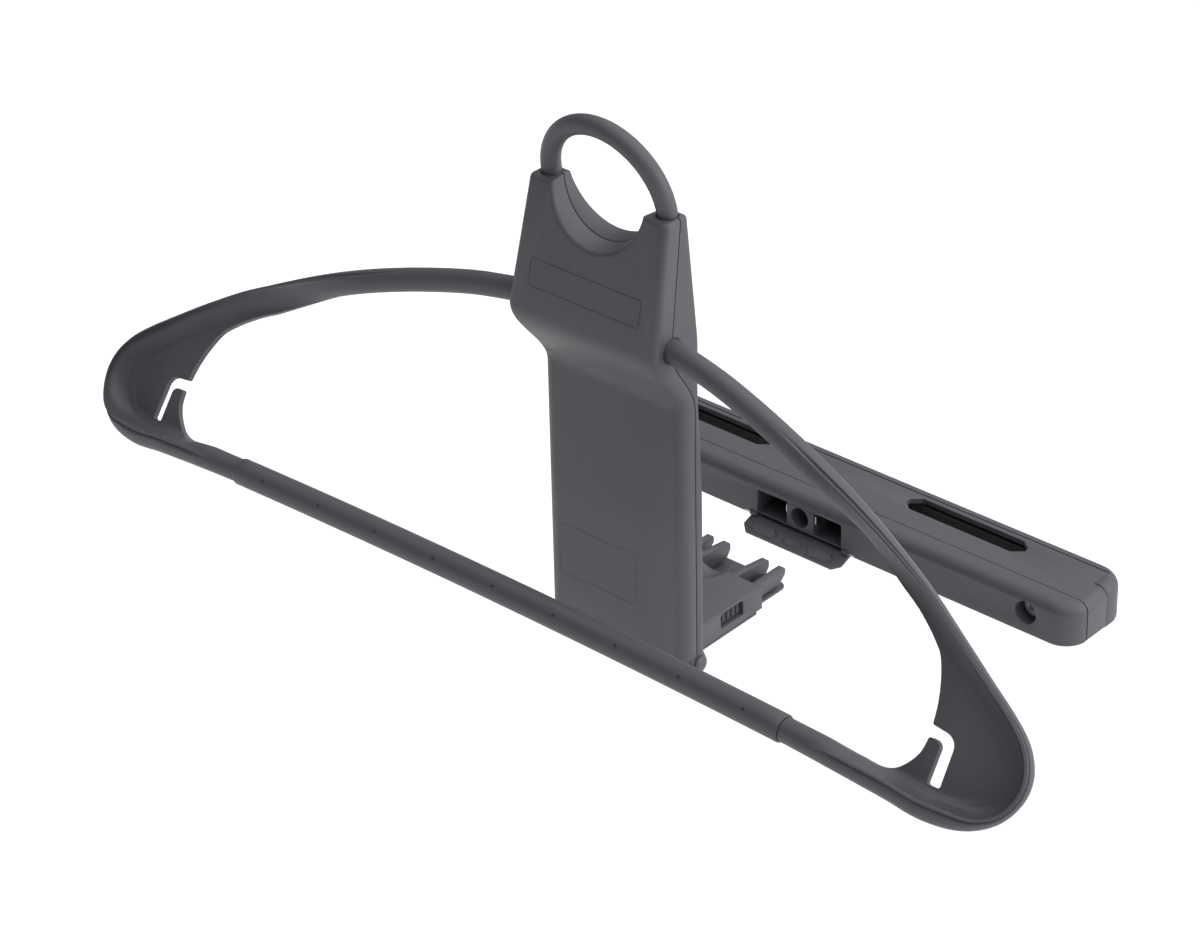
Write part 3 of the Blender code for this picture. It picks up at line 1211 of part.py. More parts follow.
def build():
    clear_scene()
    front_cover()
    rear_cover()
    top_ring()
    clamp_block()
    for number, (x, z) in enumerate(cover_screw_places(), 1):
        cover_screw(f"cover_screw_{number}", x, z)
    mirrored_copy(shoulder("left_shoulder", -1), "right_shoulder")
    rail_sleeve()
    rail_core()
    hinge_pin()
    plug_body()
    plug_plate()
    for word, side in (("left", -1), ("right", 1)):
        latch_fin("latch_fin_" + word, side)
        release_button("release_button_" + word, side)
        button_spring("button_spring_" + word, side)
        clamp_screw("clamp_screw_" + word, side)
        clamp_nut("clamp_nut_" + word, side)
        catch_spring("catch_spring_" + word, side)
        flap_pin("flap_pin_" + word, side)
        post_pad("fixed_post_pad_" + word, side, -SLOT_WIDTH / 2 + PAD_REACH - PAD_DEPTH)
        post_pad("jaw_post_pad_" + word, side, SLOT_WIDTH / 2 - PAD_REACH)
    base_front_shell()
    base_frame()
    base_bottom_plate()
    clamp_jaw()
    socket_block()
    socket_screw()
    socket_flap()


build()
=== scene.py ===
"""Looks of a travel coat hanger with its headrest clamp: finishes, fine shapes, light and camera.

Shapes are in millimetres in the part's own frame, and in metres once a mesh is made.
"""
import json
from math import atan, copysign, cos, exp, pi, radians, sin, tan

import bmesh
import bpy
from mathutils import Matrix, Vector

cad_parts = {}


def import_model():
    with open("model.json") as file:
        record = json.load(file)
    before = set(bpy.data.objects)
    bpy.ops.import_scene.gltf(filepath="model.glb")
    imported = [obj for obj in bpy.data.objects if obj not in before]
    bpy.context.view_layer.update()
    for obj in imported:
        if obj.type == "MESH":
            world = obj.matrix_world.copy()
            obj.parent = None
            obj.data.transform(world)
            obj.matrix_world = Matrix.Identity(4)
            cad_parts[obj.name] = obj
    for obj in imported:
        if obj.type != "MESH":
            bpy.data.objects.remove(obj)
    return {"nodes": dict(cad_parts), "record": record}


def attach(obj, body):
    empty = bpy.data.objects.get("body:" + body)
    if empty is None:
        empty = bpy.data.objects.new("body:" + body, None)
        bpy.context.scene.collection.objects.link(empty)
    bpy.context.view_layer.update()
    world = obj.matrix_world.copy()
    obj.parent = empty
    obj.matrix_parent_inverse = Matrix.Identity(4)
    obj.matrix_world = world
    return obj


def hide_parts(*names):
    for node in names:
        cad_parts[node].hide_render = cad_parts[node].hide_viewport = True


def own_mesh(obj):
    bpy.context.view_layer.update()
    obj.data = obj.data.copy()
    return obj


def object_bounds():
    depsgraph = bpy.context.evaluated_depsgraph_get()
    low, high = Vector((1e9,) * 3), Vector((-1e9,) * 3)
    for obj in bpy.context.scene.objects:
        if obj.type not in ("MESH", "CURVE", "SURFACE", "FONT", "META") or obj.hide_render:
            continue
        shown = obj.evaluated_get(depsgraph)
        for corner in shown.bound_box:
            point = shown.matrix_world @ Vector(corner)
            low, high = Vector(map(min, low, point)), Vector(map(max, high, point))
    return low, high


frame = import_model()
cad_low, cad_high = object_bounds()

MM = 0.001
GAP = 0.3  # air between a piece and the way cut for it
PAST = 1  # how far a cutter reaches past the face that it opens
INTO = 0.2  # how far a joined body reaches into its neighbour
THROUGH = 30  # how far a cutter of the shoulders reaches out of their plane
FLAT_TURN = 0.4  # degrees between faces that are merged before a bevel
SHARP_TURN = 28  # and between faces whose edge may be bevelled

# Camera: it stands where the photograph was taken from
CAMERA_PLACE = (767.4, -986.6, 770.8)
CAMERA_RIGHT = Vector((0.75069, 0.66038, -0.01930))
CAMERA_UP = Vector((-0.33053, 0.40070, 0.85451))
CAMERA_LENS = 116.4
CAMERA_SENSOR = 36
CAMERA_SIGHT = (0.05, 20)  # nearest and farthest, in metres

# Light
FLOOR_DROP = 120  # from the lowest piece down to the floor
FLOOR_SIZE = 6000
FLOOR_THICK = 10
FLOOR_ROUGHNESS = 0.9
FLOOR_GLOW = 0.2
PALE = (0.8, 0.8, 0.8, 1)
WHITE = (1, 1, 1, 1)
LAMP_PLACE = (1500, 500, 500)
LAMP_AIM = (0, -90, 60)
LAMP_SIZE = 1000
LAMP_WATTS = 9
SKY_AXIS = (0.35, 0.35, 0.87)  # the sky is brightest this way
SKY_COSINES = (0.2, 0.95)  # from that axis: where the sky is dim, and where it is bright
SKY_LEVELS = (0.16, 2.05)

# Finishes: colour as linear light, roughness, grain, cloudiness and metal
FINISHES = {
    "dark_plastic": ((0.059, 0.061, 0.071), 0.52, 0.5, 0.05, 0),
    "inner_plastic": ((0.028, 0.029, 0.031), 0.55, 0.4, 0.08, 0),
    "steel": ((0.50, 0.51, 0.52), 0.32, 0.15, 0.08, 1),
    "rubber": ((0.014, 0.014, 0.015), 0.8, 0.6, 0.1, 0),
}
CLOUD_SCALE = 28
GLOSS_DRIFT = 0.05
GRAIN_SIZE = 0.35
GRAIN_DEPTH = 0.08

# The loop's own plane: across, up the plane and out of it
LOOP_TILT = radians(54.5)
LOOP_ORIGIN = Vector((0, -186.86, 49.35))
LOOP_UP = Vector((0, cos(LOOP_TILT), sin(LOOP_TILT)))
LOOP_OUT = Vector((0, -sin(LOOP_TILT), cos(LOOP_TILT)))
FORWARDS = Vector((0, -1, 0))
SIDES = (("left", -1), ("right", 1))


def principled(name):
    """A new material with its node tree and its shader."""
    made = bpy.data.materials.new(name)
    made.use_nodes = True
    return made, made.node_tree, made.node_tree.nodes["Principled BSDF"]


def feed(tree, made, inputs):
    """Give a node's inputs their values, or the outputs that feed them."""
    for name, value in inputs.items():
        if isinstance(value, bpy.types.NodeSocket):
            tree.links.new(value, made.inputs[name])
        else:
            made.inputs[name].default_value = value


def node(tree, kind, inputs, **settings):
    made = tree.nodes.new("ShaderNode" + kind)
    for name, value in settings.items():
        setattr(made, name, value)
    feed(tree, made, inputs)
    return made


def moulded(name, colour, roughness, grain, mottle, metallic):
    """A moulded finish: fine grain as bump, and a faint cloudiness of colour and gloss."""
    made, tree, main = principled(name)
    place = node(tree, "TexCoord", {}).outputs["Object"]
    cloud = node(tree, "TexNoise", {"Vector": place, "Scale": CLOUD_SCALE, "Detail": 4})
    cloud = cloud.outputs["Fac"]
    tints = [(*[c * (1 + way * mottle) for c in colour], 1) for way in (-1, 1)]
    tint = node(tree, "Mix", {0: cloud, 6: tints[0], 7: tints[1]}, data_type="RGBA")
    gloss = node(tree, "MapRange", {"Value": cloud, "To Min": roughness - GLOSS_DRIFT,
                                    "To Max": roughness + GLOSS_DRIFT})
    speck = node(tree, "TexNoise", {"Vector": place, "Scale": 1 / (GRAIN_SIZE * MM), "Detail": 2})
    bump = node(tree, "Bump", {"Strength": grain, "Distance": GRAIN_DEPTH * MM,
                               "Height": speck.outputs["Fac"]})
    feed(tree, main, {"Metallic": metallic, "Base Color": tint.outputs[2],
                      "Roughness": gloss.outputs["Result"], "Normal": bump.outputs["Normal"]})
    return made


LOOKS = {slot: moulded(slot + "_look", *finish) for slot, finish in FINISHES.items()}


def dress(obj, look, angle):
    """Smooth shading up to an angle between faces, and one finish."""
    obj.data.shade_smooth()
    obj.data.set_sharp_from_angle(angle=radians(angle))
    obj.data.materials.clear()
    obj.data.materials.append(LOOKS[look])


def settle(obj, angle, body, stands_for=None, look="dark_plastic"):
    """Give a finished piece its look and its body, and hide the node that it stands for."""
    dress(obj, look, angle)
    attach(obj, body)
    if stands_for:
        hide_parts(stands_for)


def loop_point(across, up, out):
    return LOOP_ORIGIN + Vector((across, 0, 0)) + LOOP_UP * up + LOOP_OUT * out


def link(name, data):
    obj = bpy.data.objects.new(name, data)
    bpy.context.scene.collection.objects.link(obj)
    return obj


def to_object(name, bm):
    mesh = bpy.data.meshes.new(name)
    bm.to_mesh(mesh)
    bm.free()
    return link(name, mesh)


def new_piece(name, bm):
    """Turn a closed bmesh in millimetres into an object in metres, faces outwards."""
    bmesh.ops.recalc_face_normals(bm, faces=bm.faces)
    if bm.calc_volume(signed=True) < 0:
        bmesh.ops.reverse_faces(bm, faces=bm.faces)
    bmesh.ops.scale(bm, vec=(MM, MM, MM), verts=bm.verts)
    return to_object(name, bm)


def mirrored(obj, name):
    bm = bmesh.new()
    bm.from_mesh(obj.data)
    bmesh.ops.scale(bm, vec=(-1, 1, 1), verts=bm.verts)
    bmesh.ops.reverse_faces(bm, faces=bm.faces)
    return to_object(name, bm)


def skin(rings, closed=False, bm=None):
    """Skin rings of equally many points; caps at both ends unless the row is closed."""
    if bm is None:
        bm = bmesh.new()
    verts = [[bm.verts.new(point) for point in ring] for ring in rings]
    count = len(rings[0])
    rows = list(zip(verts, verts[1:] + verts[:1] if closed else verts[1:]))
    for near, far in rows:
        for i in range(count):
            j = (i + 1) % count
            bm.faces.new((near[i], near[j], far[j], far[i]))
    if not closed:
        bm.faces.new(verts[0][::-1])
        bm.faces.new(verts[-1])
    return bm


def box(low, high):
    ring = [(low[0], low[1]), (high[0], low[1]), (high[0], high[1]), (low[0], high[1])]
    return skin([[Vector((x, y, z)) for x, y in ring] for z in (low[2], high[2])])


def prism(outline, axis, low, high, bm=None):
    """Extrude a flat outline along X, Y or Z; its points are the other two axes in order."""
    def place(point, along):
        a, b = point
        return Vector({"X": (along, a, b), "Y": (a, along, b), "Z": (a, b, along)}[axis])
    return skin([[place(point, along) for point in outline] for along in (low, high)], bm=bm)


def span(side, near, far):
    """A stretch along X on one side of the middle, in rising order."""
    return sorted((side * near, side * far))


def prism_pair(outline, near, far):
    """The same outline extruded along X on both sides of the middle."""
    bm = None
    for side in (-1, 1):
        bm = prism(outline, "X", *span(side, near, far), bm=bm)
    return bm


def plane_prism(outline):
    """An outline in the loop's plane, extruded both ways."""
    return skin([[loop_point(a, b, out) for a, b in outline] for out in (-THROUGH, THROUGH)])


def circle(centre, radius, sides=32):
    return [(centre[0] + radius * cos(2 * pi * i / sides),
             centre[1] + radius * sin(2 * pi * i / sides)) for i in range(sides)]


def quarter_turn(steps):
    return [pi / 2 * k / steps for k in range(steps + 1)]


def tube(points, radii, sides, up, bm=None):
    rings = []
    for i, point in enumerate(points):
        along = (points[min(i + 1, len(points) - 1)] - points[max(i - 1, 0)]).normalized()
        side = along.cross(up).normalized()
        top = side.cross(along)
        rings.append([point + radii[i] * (side * cos(a) + top * sin(a))
                      for a in (2 * pi * k / sides for k in range(sides))])
    return skin(rings, bm=bm)


def tube_pair(points, radius, up):
    """A tube of one thickness, with its mirror image."""
    bm = None
    for side in (-1, 1):
        bm = tube([Vector((side * p.x, p.y, p.z)) for p in points], [radius] * len(points), 40, up, bm)
    return bm


def smooth_path(knots, steps):
    """A Catmull-Rom curve through the knots, with so many steps between two of them."""
    out = []
    for i in range(len(knots) - 1):
        p0, p1 = knots[max(i - 1, 0)], knots[i]
        p2, p3 = knots[i + 1], knots[min(i + 2, len(knots) - 1)]
        for k in range(steps):
            t = k / steps
            out.append(0.5 * (2 * p1 + (p2 - p0) * t + (2 * p0 - 5 * p1 + 4 * p2 - p3) * t * t
                              + (3 * p1 - p0 - 3 * p2 + p3) * t ** 3))
    out.append(knots[-1])
    return out


def rounded(corners, steps):
    """Outline through the corners, each cut by an arc of its own radius."""
    out = []
    count = len(corners)
    for i in range(count):
        here = Vector(corners[i][:2])
        radius = corners[i][2]
        before = Vector(corners[i - 1][:2]) - here
        after = Vector(corners[(i + 1) % count][:2]) - here
        if radius <= 0:
            out.append(tuple(here))
            continue
        before.normalize()
        after.normalize()
        half = before.angle(after) / 2
        centre = here + (before + after).normalized() * (radius / sin(half))
        reach = radius / tan(half)
        first, last = here + before * reach - centre, here + after * reach - centre
        turn = first.angle_signed(last)
        for k in range(steps + 1):
            a = -turn * k / steps
            out.append((centre.x + first.x * cos(a) - first.y * sin(a),
                        centre.y + first.x * sin(a) + first.y * cos(a)))
    return out


def panel(low, high, low_round, high_round, steps):
    """A rectangle between two corners, with one rounding at its bottom and one at its top."""
    (a0, b0), (a1, b1) = low, high
    return rounded([(a0, b0, low_round), (a1, b0, low_round), (a1, b1, high_round),
                    (a0, b1, high_round)], steps)


def both_halves(right):
    """A whole outline from its right half, with the corner that mirrors the first in front."""
    left = [(-a, b, radius) for a, b, radius in reversed(right)]
    return left[-1:] + list(right) + left[:-1]


def blend(low_value, high_value, share):
    return low_value + (high_value - low_value) * share


def smooth_step(value, low, high):
    t = min(max((value - low) / (high - low), 0), 1)
    return t * t * (3 - 2 * t)


def with_tool(obj, tool, operation):
    """Cut, join or keep with another object, which is used up."""
    step = obj.modifiers.new("step", "BOOLEAN")
    step.operation = operation
    step.object = tool
    step.solver = "MANIFOLD"
    bpy.context.view_layer.update()
    finished = obj.evaluated_get(bpy.context.evaluated_depsgraph_get())
    mesh = bpy.data.meshes.new_from_object(finished)
    obj.modifiers.clear()
    old = obj.data
    obj.data = mesh
    bpy.data.meshes.remove(old)
    bpy.data.objects.remove(tool)
    return obj


def boolean(obj, bm, operation="DIFFERENCE"):
    return with_tool(obj, new_piece("tool", bm), operation)


def cut_box(obj, low, high, operation="DIFFERENCE"):
    return boolean(obj, box(low, high), operation)


def cut_pair(obj, near, far, low, high, operation="DIFFERENCE"):
    """The same box on both sides: its stretch along X and two corners, Y then Z."""
    for side in (-1, 1):
        left, right = span(side, near, far)
        cut_box(obj, (left, *low), (right, *high), operation)


def drill(obj, places, radius, low, high, sides=40, operation="DIFFERENCE"):
    """Round holes, or posts, along Y at the given places, X then Z."""
    bm = None
    for place in places:
        bm = prism(circle(place, radius, sides), "Y", low, high, bm)
    boolean(obj, bm, operation)


def bevel_where(obj, width, test, segments=3):
    """Round the outer edges whose middle m, in mm, passes a test."""
    bm = bmesh.new()
    bm.from_mesh(obj.data)
    bmesh.ops.dissolve_limit(bm, angle_limit=radians(FLAT_TURN), verts=bm.verts, edges=bm.edges)
    bm.normal_update()
    picked = []
    for edge in bm.edges:
        if len(edge.link_faces) == 2 and edge.calc_face_angle_signed(0) > radians(SHARP_TURN):
            if test((edge.verts[0].co + edge.verts[1].co) / (2 * MM)):
                picked.append(edge)
    bmesh.ops.bevel(bm, geom=picked, offset=width * MM, offset_type="OFFSET", segments=segments,
                    profile=0.5, affect="EDGES", clamp_overlap=True)
    bm.to_mesh(obj.data)
    bm.free()


# Rail and shoulders
ROD_RADIUS = 4.3
RIM_RADIUS = 4.9  # at the tip
RIM_TAPER = (120, 180)  # the rod swells over this stretch
SLEEVE_RADIUS = 4.95
SLEEVE_HALF_LENGTH = 125.4
SLEEVE_END_ROUND = 0.6
SLEEVE_STEPS = 40
DIMPLE_SPACING = 27.7
DIMPLE_RADIUS = 0.85
DIMPLES_A_SIDE = 4
RAIL_BOW = 1.0e-4  # drop per square of the distance from the middle
ARM_END = 16
WEB_THICK = 2.4
WEB_TOP = -7.2  # the web's face, in front of the bend
WEB_BEND = (172, 200)  # it goes back over this stretch
WEB_BACK = 4.8
WEB_ACROSS = (142, 202)
WEB_UP = (-12, 70)
WEB_START = (152, 157)  # where the web begins, on the rail's side and on the arm's
WEB_EDGE = 5.5  # from the rim's centre line in to the web's edge, inside the floor
COVE_FOOT = 5.2  # and to the foot of the wall that goes down to the floor
FLOOR_END = 9  # and to the end of the rim's own floor
FLOOR_SUNK = 0.03  # the floor lies this far below the web's face
WALL_BOW = 0.8
FOOT_BEAD = (0.25, 0.9, 0.7)  # at the wall's foot: height, distance up the wall, spread
CREST = (0.45, 4)  # swell of the rim: height, and spread in degrees
DENT = (0.6, 12, 5)  # depth, place past the crest, and spread in degrees
CREST_LEAD = 9  # a section starts so many degrees before its crest
FINE_TURN = 2.5  # degrees between its first points
FINE_COUNT = 17
COARSE_TURN = (48, 18)  # from the start to the next ones, which go on to the underside
UNDERSIDE = 270
UNDER_TURN = (6, 6)  # degrees between points below the lip, and how many
UNDER_FLAT = 6  # the underside becomes the web's within this distance
WALL_START = 312  # where the wall's points begin
WALL_COUNT = 18
WALL_THIN = 0.6  # the wall's foot lies so far inside the rod, where there is no floor
CREST_TURNS = (84, 146, 104)  # where the crest lies round the rim: rail, tip and arm side
# Stretches over which the rod turns into a lip, gains its crest and reaches the web
RAIL_SIDE = ((142, 168), (134, 150), (152, 168))
ARM_SIDE = ((96, 156), (80, 108), (146, 164))
ARM_CREST_TURN = (96, 166)
SHOULDER_PATH = (
    (143, -2.2, 0), (155, -2.8, -1), (168, -3.6, -2.6), (181, -4.8, -4.6),
    (192.5, -3.2, -6.6), (200.5, 1.6, -8.4), (204.6, 8.6, -9.6), (204.6, 15.6, -10),
    (200.6, 22.4, -9.8), (193.4, 28.4, -8.6), (181, 36.6, -6.4), (166, 46.4, -4.3),
    (148, 57.4, -2.4), (119, 72, 0.2), (89.5, 83.4, 2.3), (58, 92.7, 3.9),
    (33.5, 97.3, 4.7),
)
# Inner edge of the web above the strap slot, the slot's corners with radii, and the edge below it
WEB_ABOVE = (
    (100, 74), (125, 64), (142, 55.6), (150, 51.4), (155.8, 47.6), (160.4, 44),
    (164.4, 40), (167.8, 32.9), (169.9, 26), (170.9, 19.8),
)
SLOT_CORNERS = (
    (171.1, 19.3, 0.7), (180.6, 18.2, 4.6), (181.2, 1.2, 1), (176.4, 1.2, 1),
    (176.2, 15.2, 2.6), (171.4, 15.3, 0.9),
)
WEB_BELOW = (
    (171.3, 13.4), (170.6, 9.6), (168.2, 5.4), (164.2, 1.6), (158.6, 0.2), (150, 1.2),
    (138, 2.6), (120, 4), (100, 6),
)


def rail_point(across):
    return loop_point(across, -RAIL_BOW * across * across, 0)


def trouser_bar():
    """The sleeve of the rail, with two rows of small dimples."""
    inner = SLEEVE_HALF_LENGTH - SLEEVE_END_ROUND
    places = [inner * (2 * k / SLEEVE_STEPS - 1) for k in range(SLEEVE_STEPS + 1)]
    places = [-SLEEVE_HALF_LENGTH] + places + [SLEEVE_HALF_LENGTH]
    radii = [SLEEVE_RADIUS] * len(places)
    radii[0] = radii[-1] = SLEEVE_RADIUS - SLEEVE_END_ROUND / 2
    obj = new_piece("trouser_bar", tube([rail_point(x) for x in places], radii, 48, LOOP_OUT))
    bm = bmesh.new()
    for k in range(-DIMPLES_A_SIDE, DIMPLES_A_SIDE + 1):
        for way in (LOOP_OUT, LOOP_UP):
            centre = rail_point(k * DIMPLE_SPACING) + way * SLEEVE_RADIUS
            bmesh.ops.create_icosphere(bm, subdivisions=2, radius=DIMPLE_RADIUS,
                                       matrix=Matrix.Translation(centre))
    boolean(obj, bm)
    settle(obj, 50, "hanger", "trouser_bar_sleeve")


def web_face(across):
    """Height of the web's face: it goes back towards the tip."""
    return WEB_TOP - WEB_BACK * smooth_step(across, *WEB_BEND)


def rim_swell(turn, crest, top):
    """Swell of the rim at its crest and the dent beside it, by the angle in degrees."""
    return crest * (CREST[0] * exp(-((turn - top) / CREST[1]) ** 2)
                    - DENT[0] * exp(-((turn - top - DENT[1]) / DENT[2]) ** 2))


def rim_ring(place, inward, radius, shape, crest, reach, top):
    """One section of the rim: a round rod, or with shape 1 a lip with a wall down to the web.

    Its points go round by the angle from the way inwards: closely past the crest at the top,
    then over the outside to the underside at 270 degrees, and back up the wall.
    """
    out = (place - LOOP_ORIGIN).dot(LOOP_OUT)
    first = top - CREST_LEAD
    coarse, count = COARSE_TURN
    turns = [first + FINE_TURN * k for k in range(FINE_COUNT)]
    turns += [blend(first + coarse, UNDERSIDE, k / count) for k in range(count + 1)]
    lip_end = blend(radius, FLOOR_END, reach)
    foot_at = blend(radius - WALL_THIN, COVE_FOOT, reach)
    ring = []

    def add(s_round, n_round, s_lip, n_lip):
        s, n = blend(s_round, s_lip, shape), blend(n_round, n_lip, shape)
        ring.append(place + inward * s + LOOP_OUT * n)

    def floor(s, offset):
        return web_face((place + inward * s).x) - out + offset

    under = min(-radius, floor(0, -WEB_THICK))
    for turn in turns:
        a = radians(turn)
        r = radius + rim_swell(turn, crest, top)
        s, n = r * cos(a), r * sin(a)
        add(s, n, s, n if n > 0 else n * -under / radius)
    step, count = UNDER_TURN
    for k in range(1, count + 1):
        s = lip_end * k / count
        a = radians(UNDERSIDE + step * k)
        low = blend(under, floor(s, -WEB_THICK), smooth_step(s, 0, UNDER_FLAT))
        add(radius * cos(a), radius * sin(a), s, low)
    start, high = radius * cos(radians(first)), radius * sin(radians(first))
    for k in range(WALL_COUNT):
        a = radians(WALL_START + (360 - WALL_START + first) * k / WALL_COUNT)
        s, height = lip_end, floor(lip_end, -FLOOR_SUNK)
        if k > 0:
            turn = pi / 2 * (1 - (k - 1) / (WALL_COUNT - 1))
            s = foot_at - (foot_at - start) * cos(turn)
            bead = FOOT_BEAD[0] * reach * exp(-((s - foot_at + FOOT_BEAD[1]) / FOOT_BEAD[2]) ** 2)
            height = high - (high - floor(s, -FLOOR_SUNK)) * sin(turn) ** WALL_BOW + bead
        add(radius * cos(a), radius * sin(a), s, height)
    return ring


def rim_body():
    """The rod from the rail round the tip to the mast, its path and the tip's place in it."""
    knots = [rail_point(SLEEVE_HALF_LENGTH + GAP)] + [loop_point(*knot) for knot in SHOULDER_PATH]
    path = smooth_path(knots, 8)
    end = (path[-1] - path[-2]).normalized()
    path.append(path[-1] + end * ((path[-1].x - ARM_END) / -end.x))
    tip = max(range(len(path)), key=lambda i: path[i].x)
    rail, middle, arm = CREST_TURNS
    rings = []
    for i, point in enumerate(path):
        along = path[min(i + 1, len(path) - 1)] - path[max(i - 1, 0)]
        inward = LOOP_OUT.cross(along).normalized()
        radius = blend(ROD_RADIUS, RIM_RADIUS, smooth_step(point.x, *RIM_TAPER))
        if i < tip:
            stretches = RAIL_SIDE
            top = blend(rail, middle, smooth_step(-inward.x, 0, 1))
        else:
            stretches = ARM_SIDE
            top = blend(arm, middle, smooth_step(point.x, *ARM_CREST_TURN))
        shares = [smooth_step(point.x, *stretch) for stretch in stretches]
        rings.append(rim_ring(point, inward, radius, *shares, top))
    return new_piece("shoulder_right", skin(rings)), path, tip


def web_body(path, tip):
    """The flat of the shoulder, bent back at the tip."""
    low, high = WEB_UP
    rings = []
    for k in range(31):
        a = blend(*WEB_ACROSS, k / 30)
        rings.append([loop_point(a, b, web_face(a) - under * WEB_THICK)
                      for b, under in ((low, 1), (high, 1), (high, 0), (low, 0))])
    outline = []
    for i in range(1, len(path) - 1):
        if path[i].x > WEB_START[0 if i < tip else 1]:
            inward = LOOP_OUT.cross(path[i + 1] - path[i - 1]).normalized()
            point = path[i] + inward * WEB_EDGE - LOOP_ORIGIN
            outline.append((point.x, point.dot(LOOP_UP)))
    return boolean(new_piece("web", skin(rings)), plane_prism(outline), "INTERSECT")


def loop_opening():
    """Outline of the way through the loop beside one web, with the strap slot."""
    above, below = ([(p.x, p.y, 0) for p in smooth_path([Vector((a, b, 0)) for a, b in edge], 5)]
                    for edge in (WEB_ABOVE, WEB_BELOW))
    return rounded(above + list(SLOT_CORNERS) + below, 5)


def shoulders():
    obj, path, tip = rim_body()
    with_tool(obj, web_body(path, tip), "UNION")
    boolean(obj, plane_prism(loop_opening()))
    twin = mirrored(obj, "shoulder_left")
    settle(obj, 34, "hanger", "right_shoulder")
    settle(twin, 34, "hanger", "left_shoulder")


# Mast and head, z levels and the run of its faces: foot, top of the S-curve, top
MAST_BOTTOM = 0.7
MAST_TOP = 177
CURVE_LOW = 102
CURVE_HIGH = 131
MAST_FRONT_FACE = (-128.2, -143.6, -133.5)
MAST_SEAM_FACE = (-121.2, -134.5, -126.3)
MAST_WIDTHS = (32, 33.2, 30.8)
MAST_BACK = (-116.7, -122.3)
BACK_BEND = 66
MAST_WALL = 2.1
MAST_EDGES = (5, 2.6)  # radius of the upright edges at the foot and on the head
BACK_EDGES = (2, 2)
CAVITY_TOP = 150
NOTCH_FRONT = (-137.5, 179.2, 20.1)  # y, height of its axis and radius; it opens towards the back
NOTCH_REAR = (-121.5, 184.2, 22.3)
NOTCH_MIDDLE = -125
NOTCH_PAST = 4  # its cutter starts and ends so far outside the head
EAR_ROUND = 1.3
SEAM_ROUND = 0.22
FOOT_ROUND = 0.5
RING_Z = 177.6
RING_Y = -127.1
RING_LEAN = atan(0.18)  # forwards, above the ears
RING_RADIUS = 25.6
RING_ROD = 3.6
RING_LEG = 11
ARM_RUN = 8  # the way cut for an arm starts so far outside the mast
# Fine lines on the front: two corners, radius, width and depth
LABEL = (((-24.6, 139.8), (24.6, 149.5)), 1.2, 0.5, 0.16)
FIELD = (((-26, 17), (10, 38)), 1.5, 0.4, 0.06)
COVER_SCREWS = [(side * 25.5, z) for z in (75, 112) for side in (-1, 1)]
COVER_WELLS = (1.4, 2.8, 3.2)  # radius of the bore, the well and its rounded mouth
COVER_WELL_DEPTH = 1.5
BOSS_RADIUS = 3.2
POCKET_HALF = 24
POCKET_FOOT = -1.3
POCKET_TOP = 67
POCKET_DEPTH = (-128.2, -115)
POCKET_ROUND = 0.5
LUG_SPAN = (25.1, 31.7)
LUG_RADIUS = 4
LUG_RISE = 4
PIN_PLACE = (-119.5, -2.95)
PIN_RADIUS = 1.6
PIN_HEAD_RADIUS = 3.2
PIN_WAY = 40  # half the length of its bore's cutter
PIN_DOME = ((0.05, 1.2), (1.2, 1.16), (2.1, 1.02), (2.75, 0.75), (3.1, 0.35),
            (3.2, 0), (PIN_RADIUS, 0))


def face_at(z, run):
    """Where a face of the mast lies at a height: upright, through the S-curve, then straight."""
    if z <= CURVE_HIGH:
        return blend(run[0], run[1], smooth_step(z, CURVE_LOW, CURVE_HIGH))
    return blend(run[1], run[2], (z - CURVE_HIGH) / (MAST_TOP - CURVE_HIGH))


def seam_at(z):
    return face_at(z, MAST_SEAM_FACE)


def front_at(z):
    return face_at(z, MAST_FRONT_FACE)


def back_at(z):
    return blend(*MAST_BACK, max(z - BACK_BEND, 0) / (MAST_TOP - BACK_BEND))


def cover_block(outer_at, edges, inset, low, high):
    """The block between the seam and one face of the mast, drawn in by an inset."""
    levels = [low, BACK_BEND] + [blend(CURVE_LOW, CURVE_HIGH, k / 20) for k in range(21)] + [high]
    rings = []
    for z in levels:
        outer, seam = outer_at(z), seam_at(z)
        away = 1 if outer > seam else -1
        seam += away * (GAP / 2 if inset == 0 else -MAST_WALL)
        outer -= away * inset
        width = face_at(z, MAST_WIDTHS) - inset
        radius = max(blend(*edges, smooth_step(z, CURVE_LOW, CURVE_HIGH)) - inset, 0.3)
        right = [(width, seam)]
        for a in quarter_turn(10):
            right.append((width - radius * (1 - cos(a)), outer - away * radius * (1 - sin(a))))
        left = [(-x, y) for x, y in reversed(right)]
        rings.append([Vector((x, y, z)) for x, y in right + left])
    return skin(rings)


def ring_place(across, up):
    """A point in the plane of the ring: its legs are upright, and above them it leans forwards."""
    lean = RING_LEAN if up > 0 else 0
    return Vector((across, RING_Y - up * sin(lean), RING_Z + up * cos(lean)))


def notch_at(y):
    """Height of the notch's axis and its radius at one depth."""
    share = min(max((y - NOTCH_FRONT[0]) / (NOTCH_REAR[0] - NOTCH_FRONT[0]), 0), 1)
    return [blend(a, b, share) for a, b in zip(NOTCH_FRONT[1:], NOTCH_REAR[1:])]


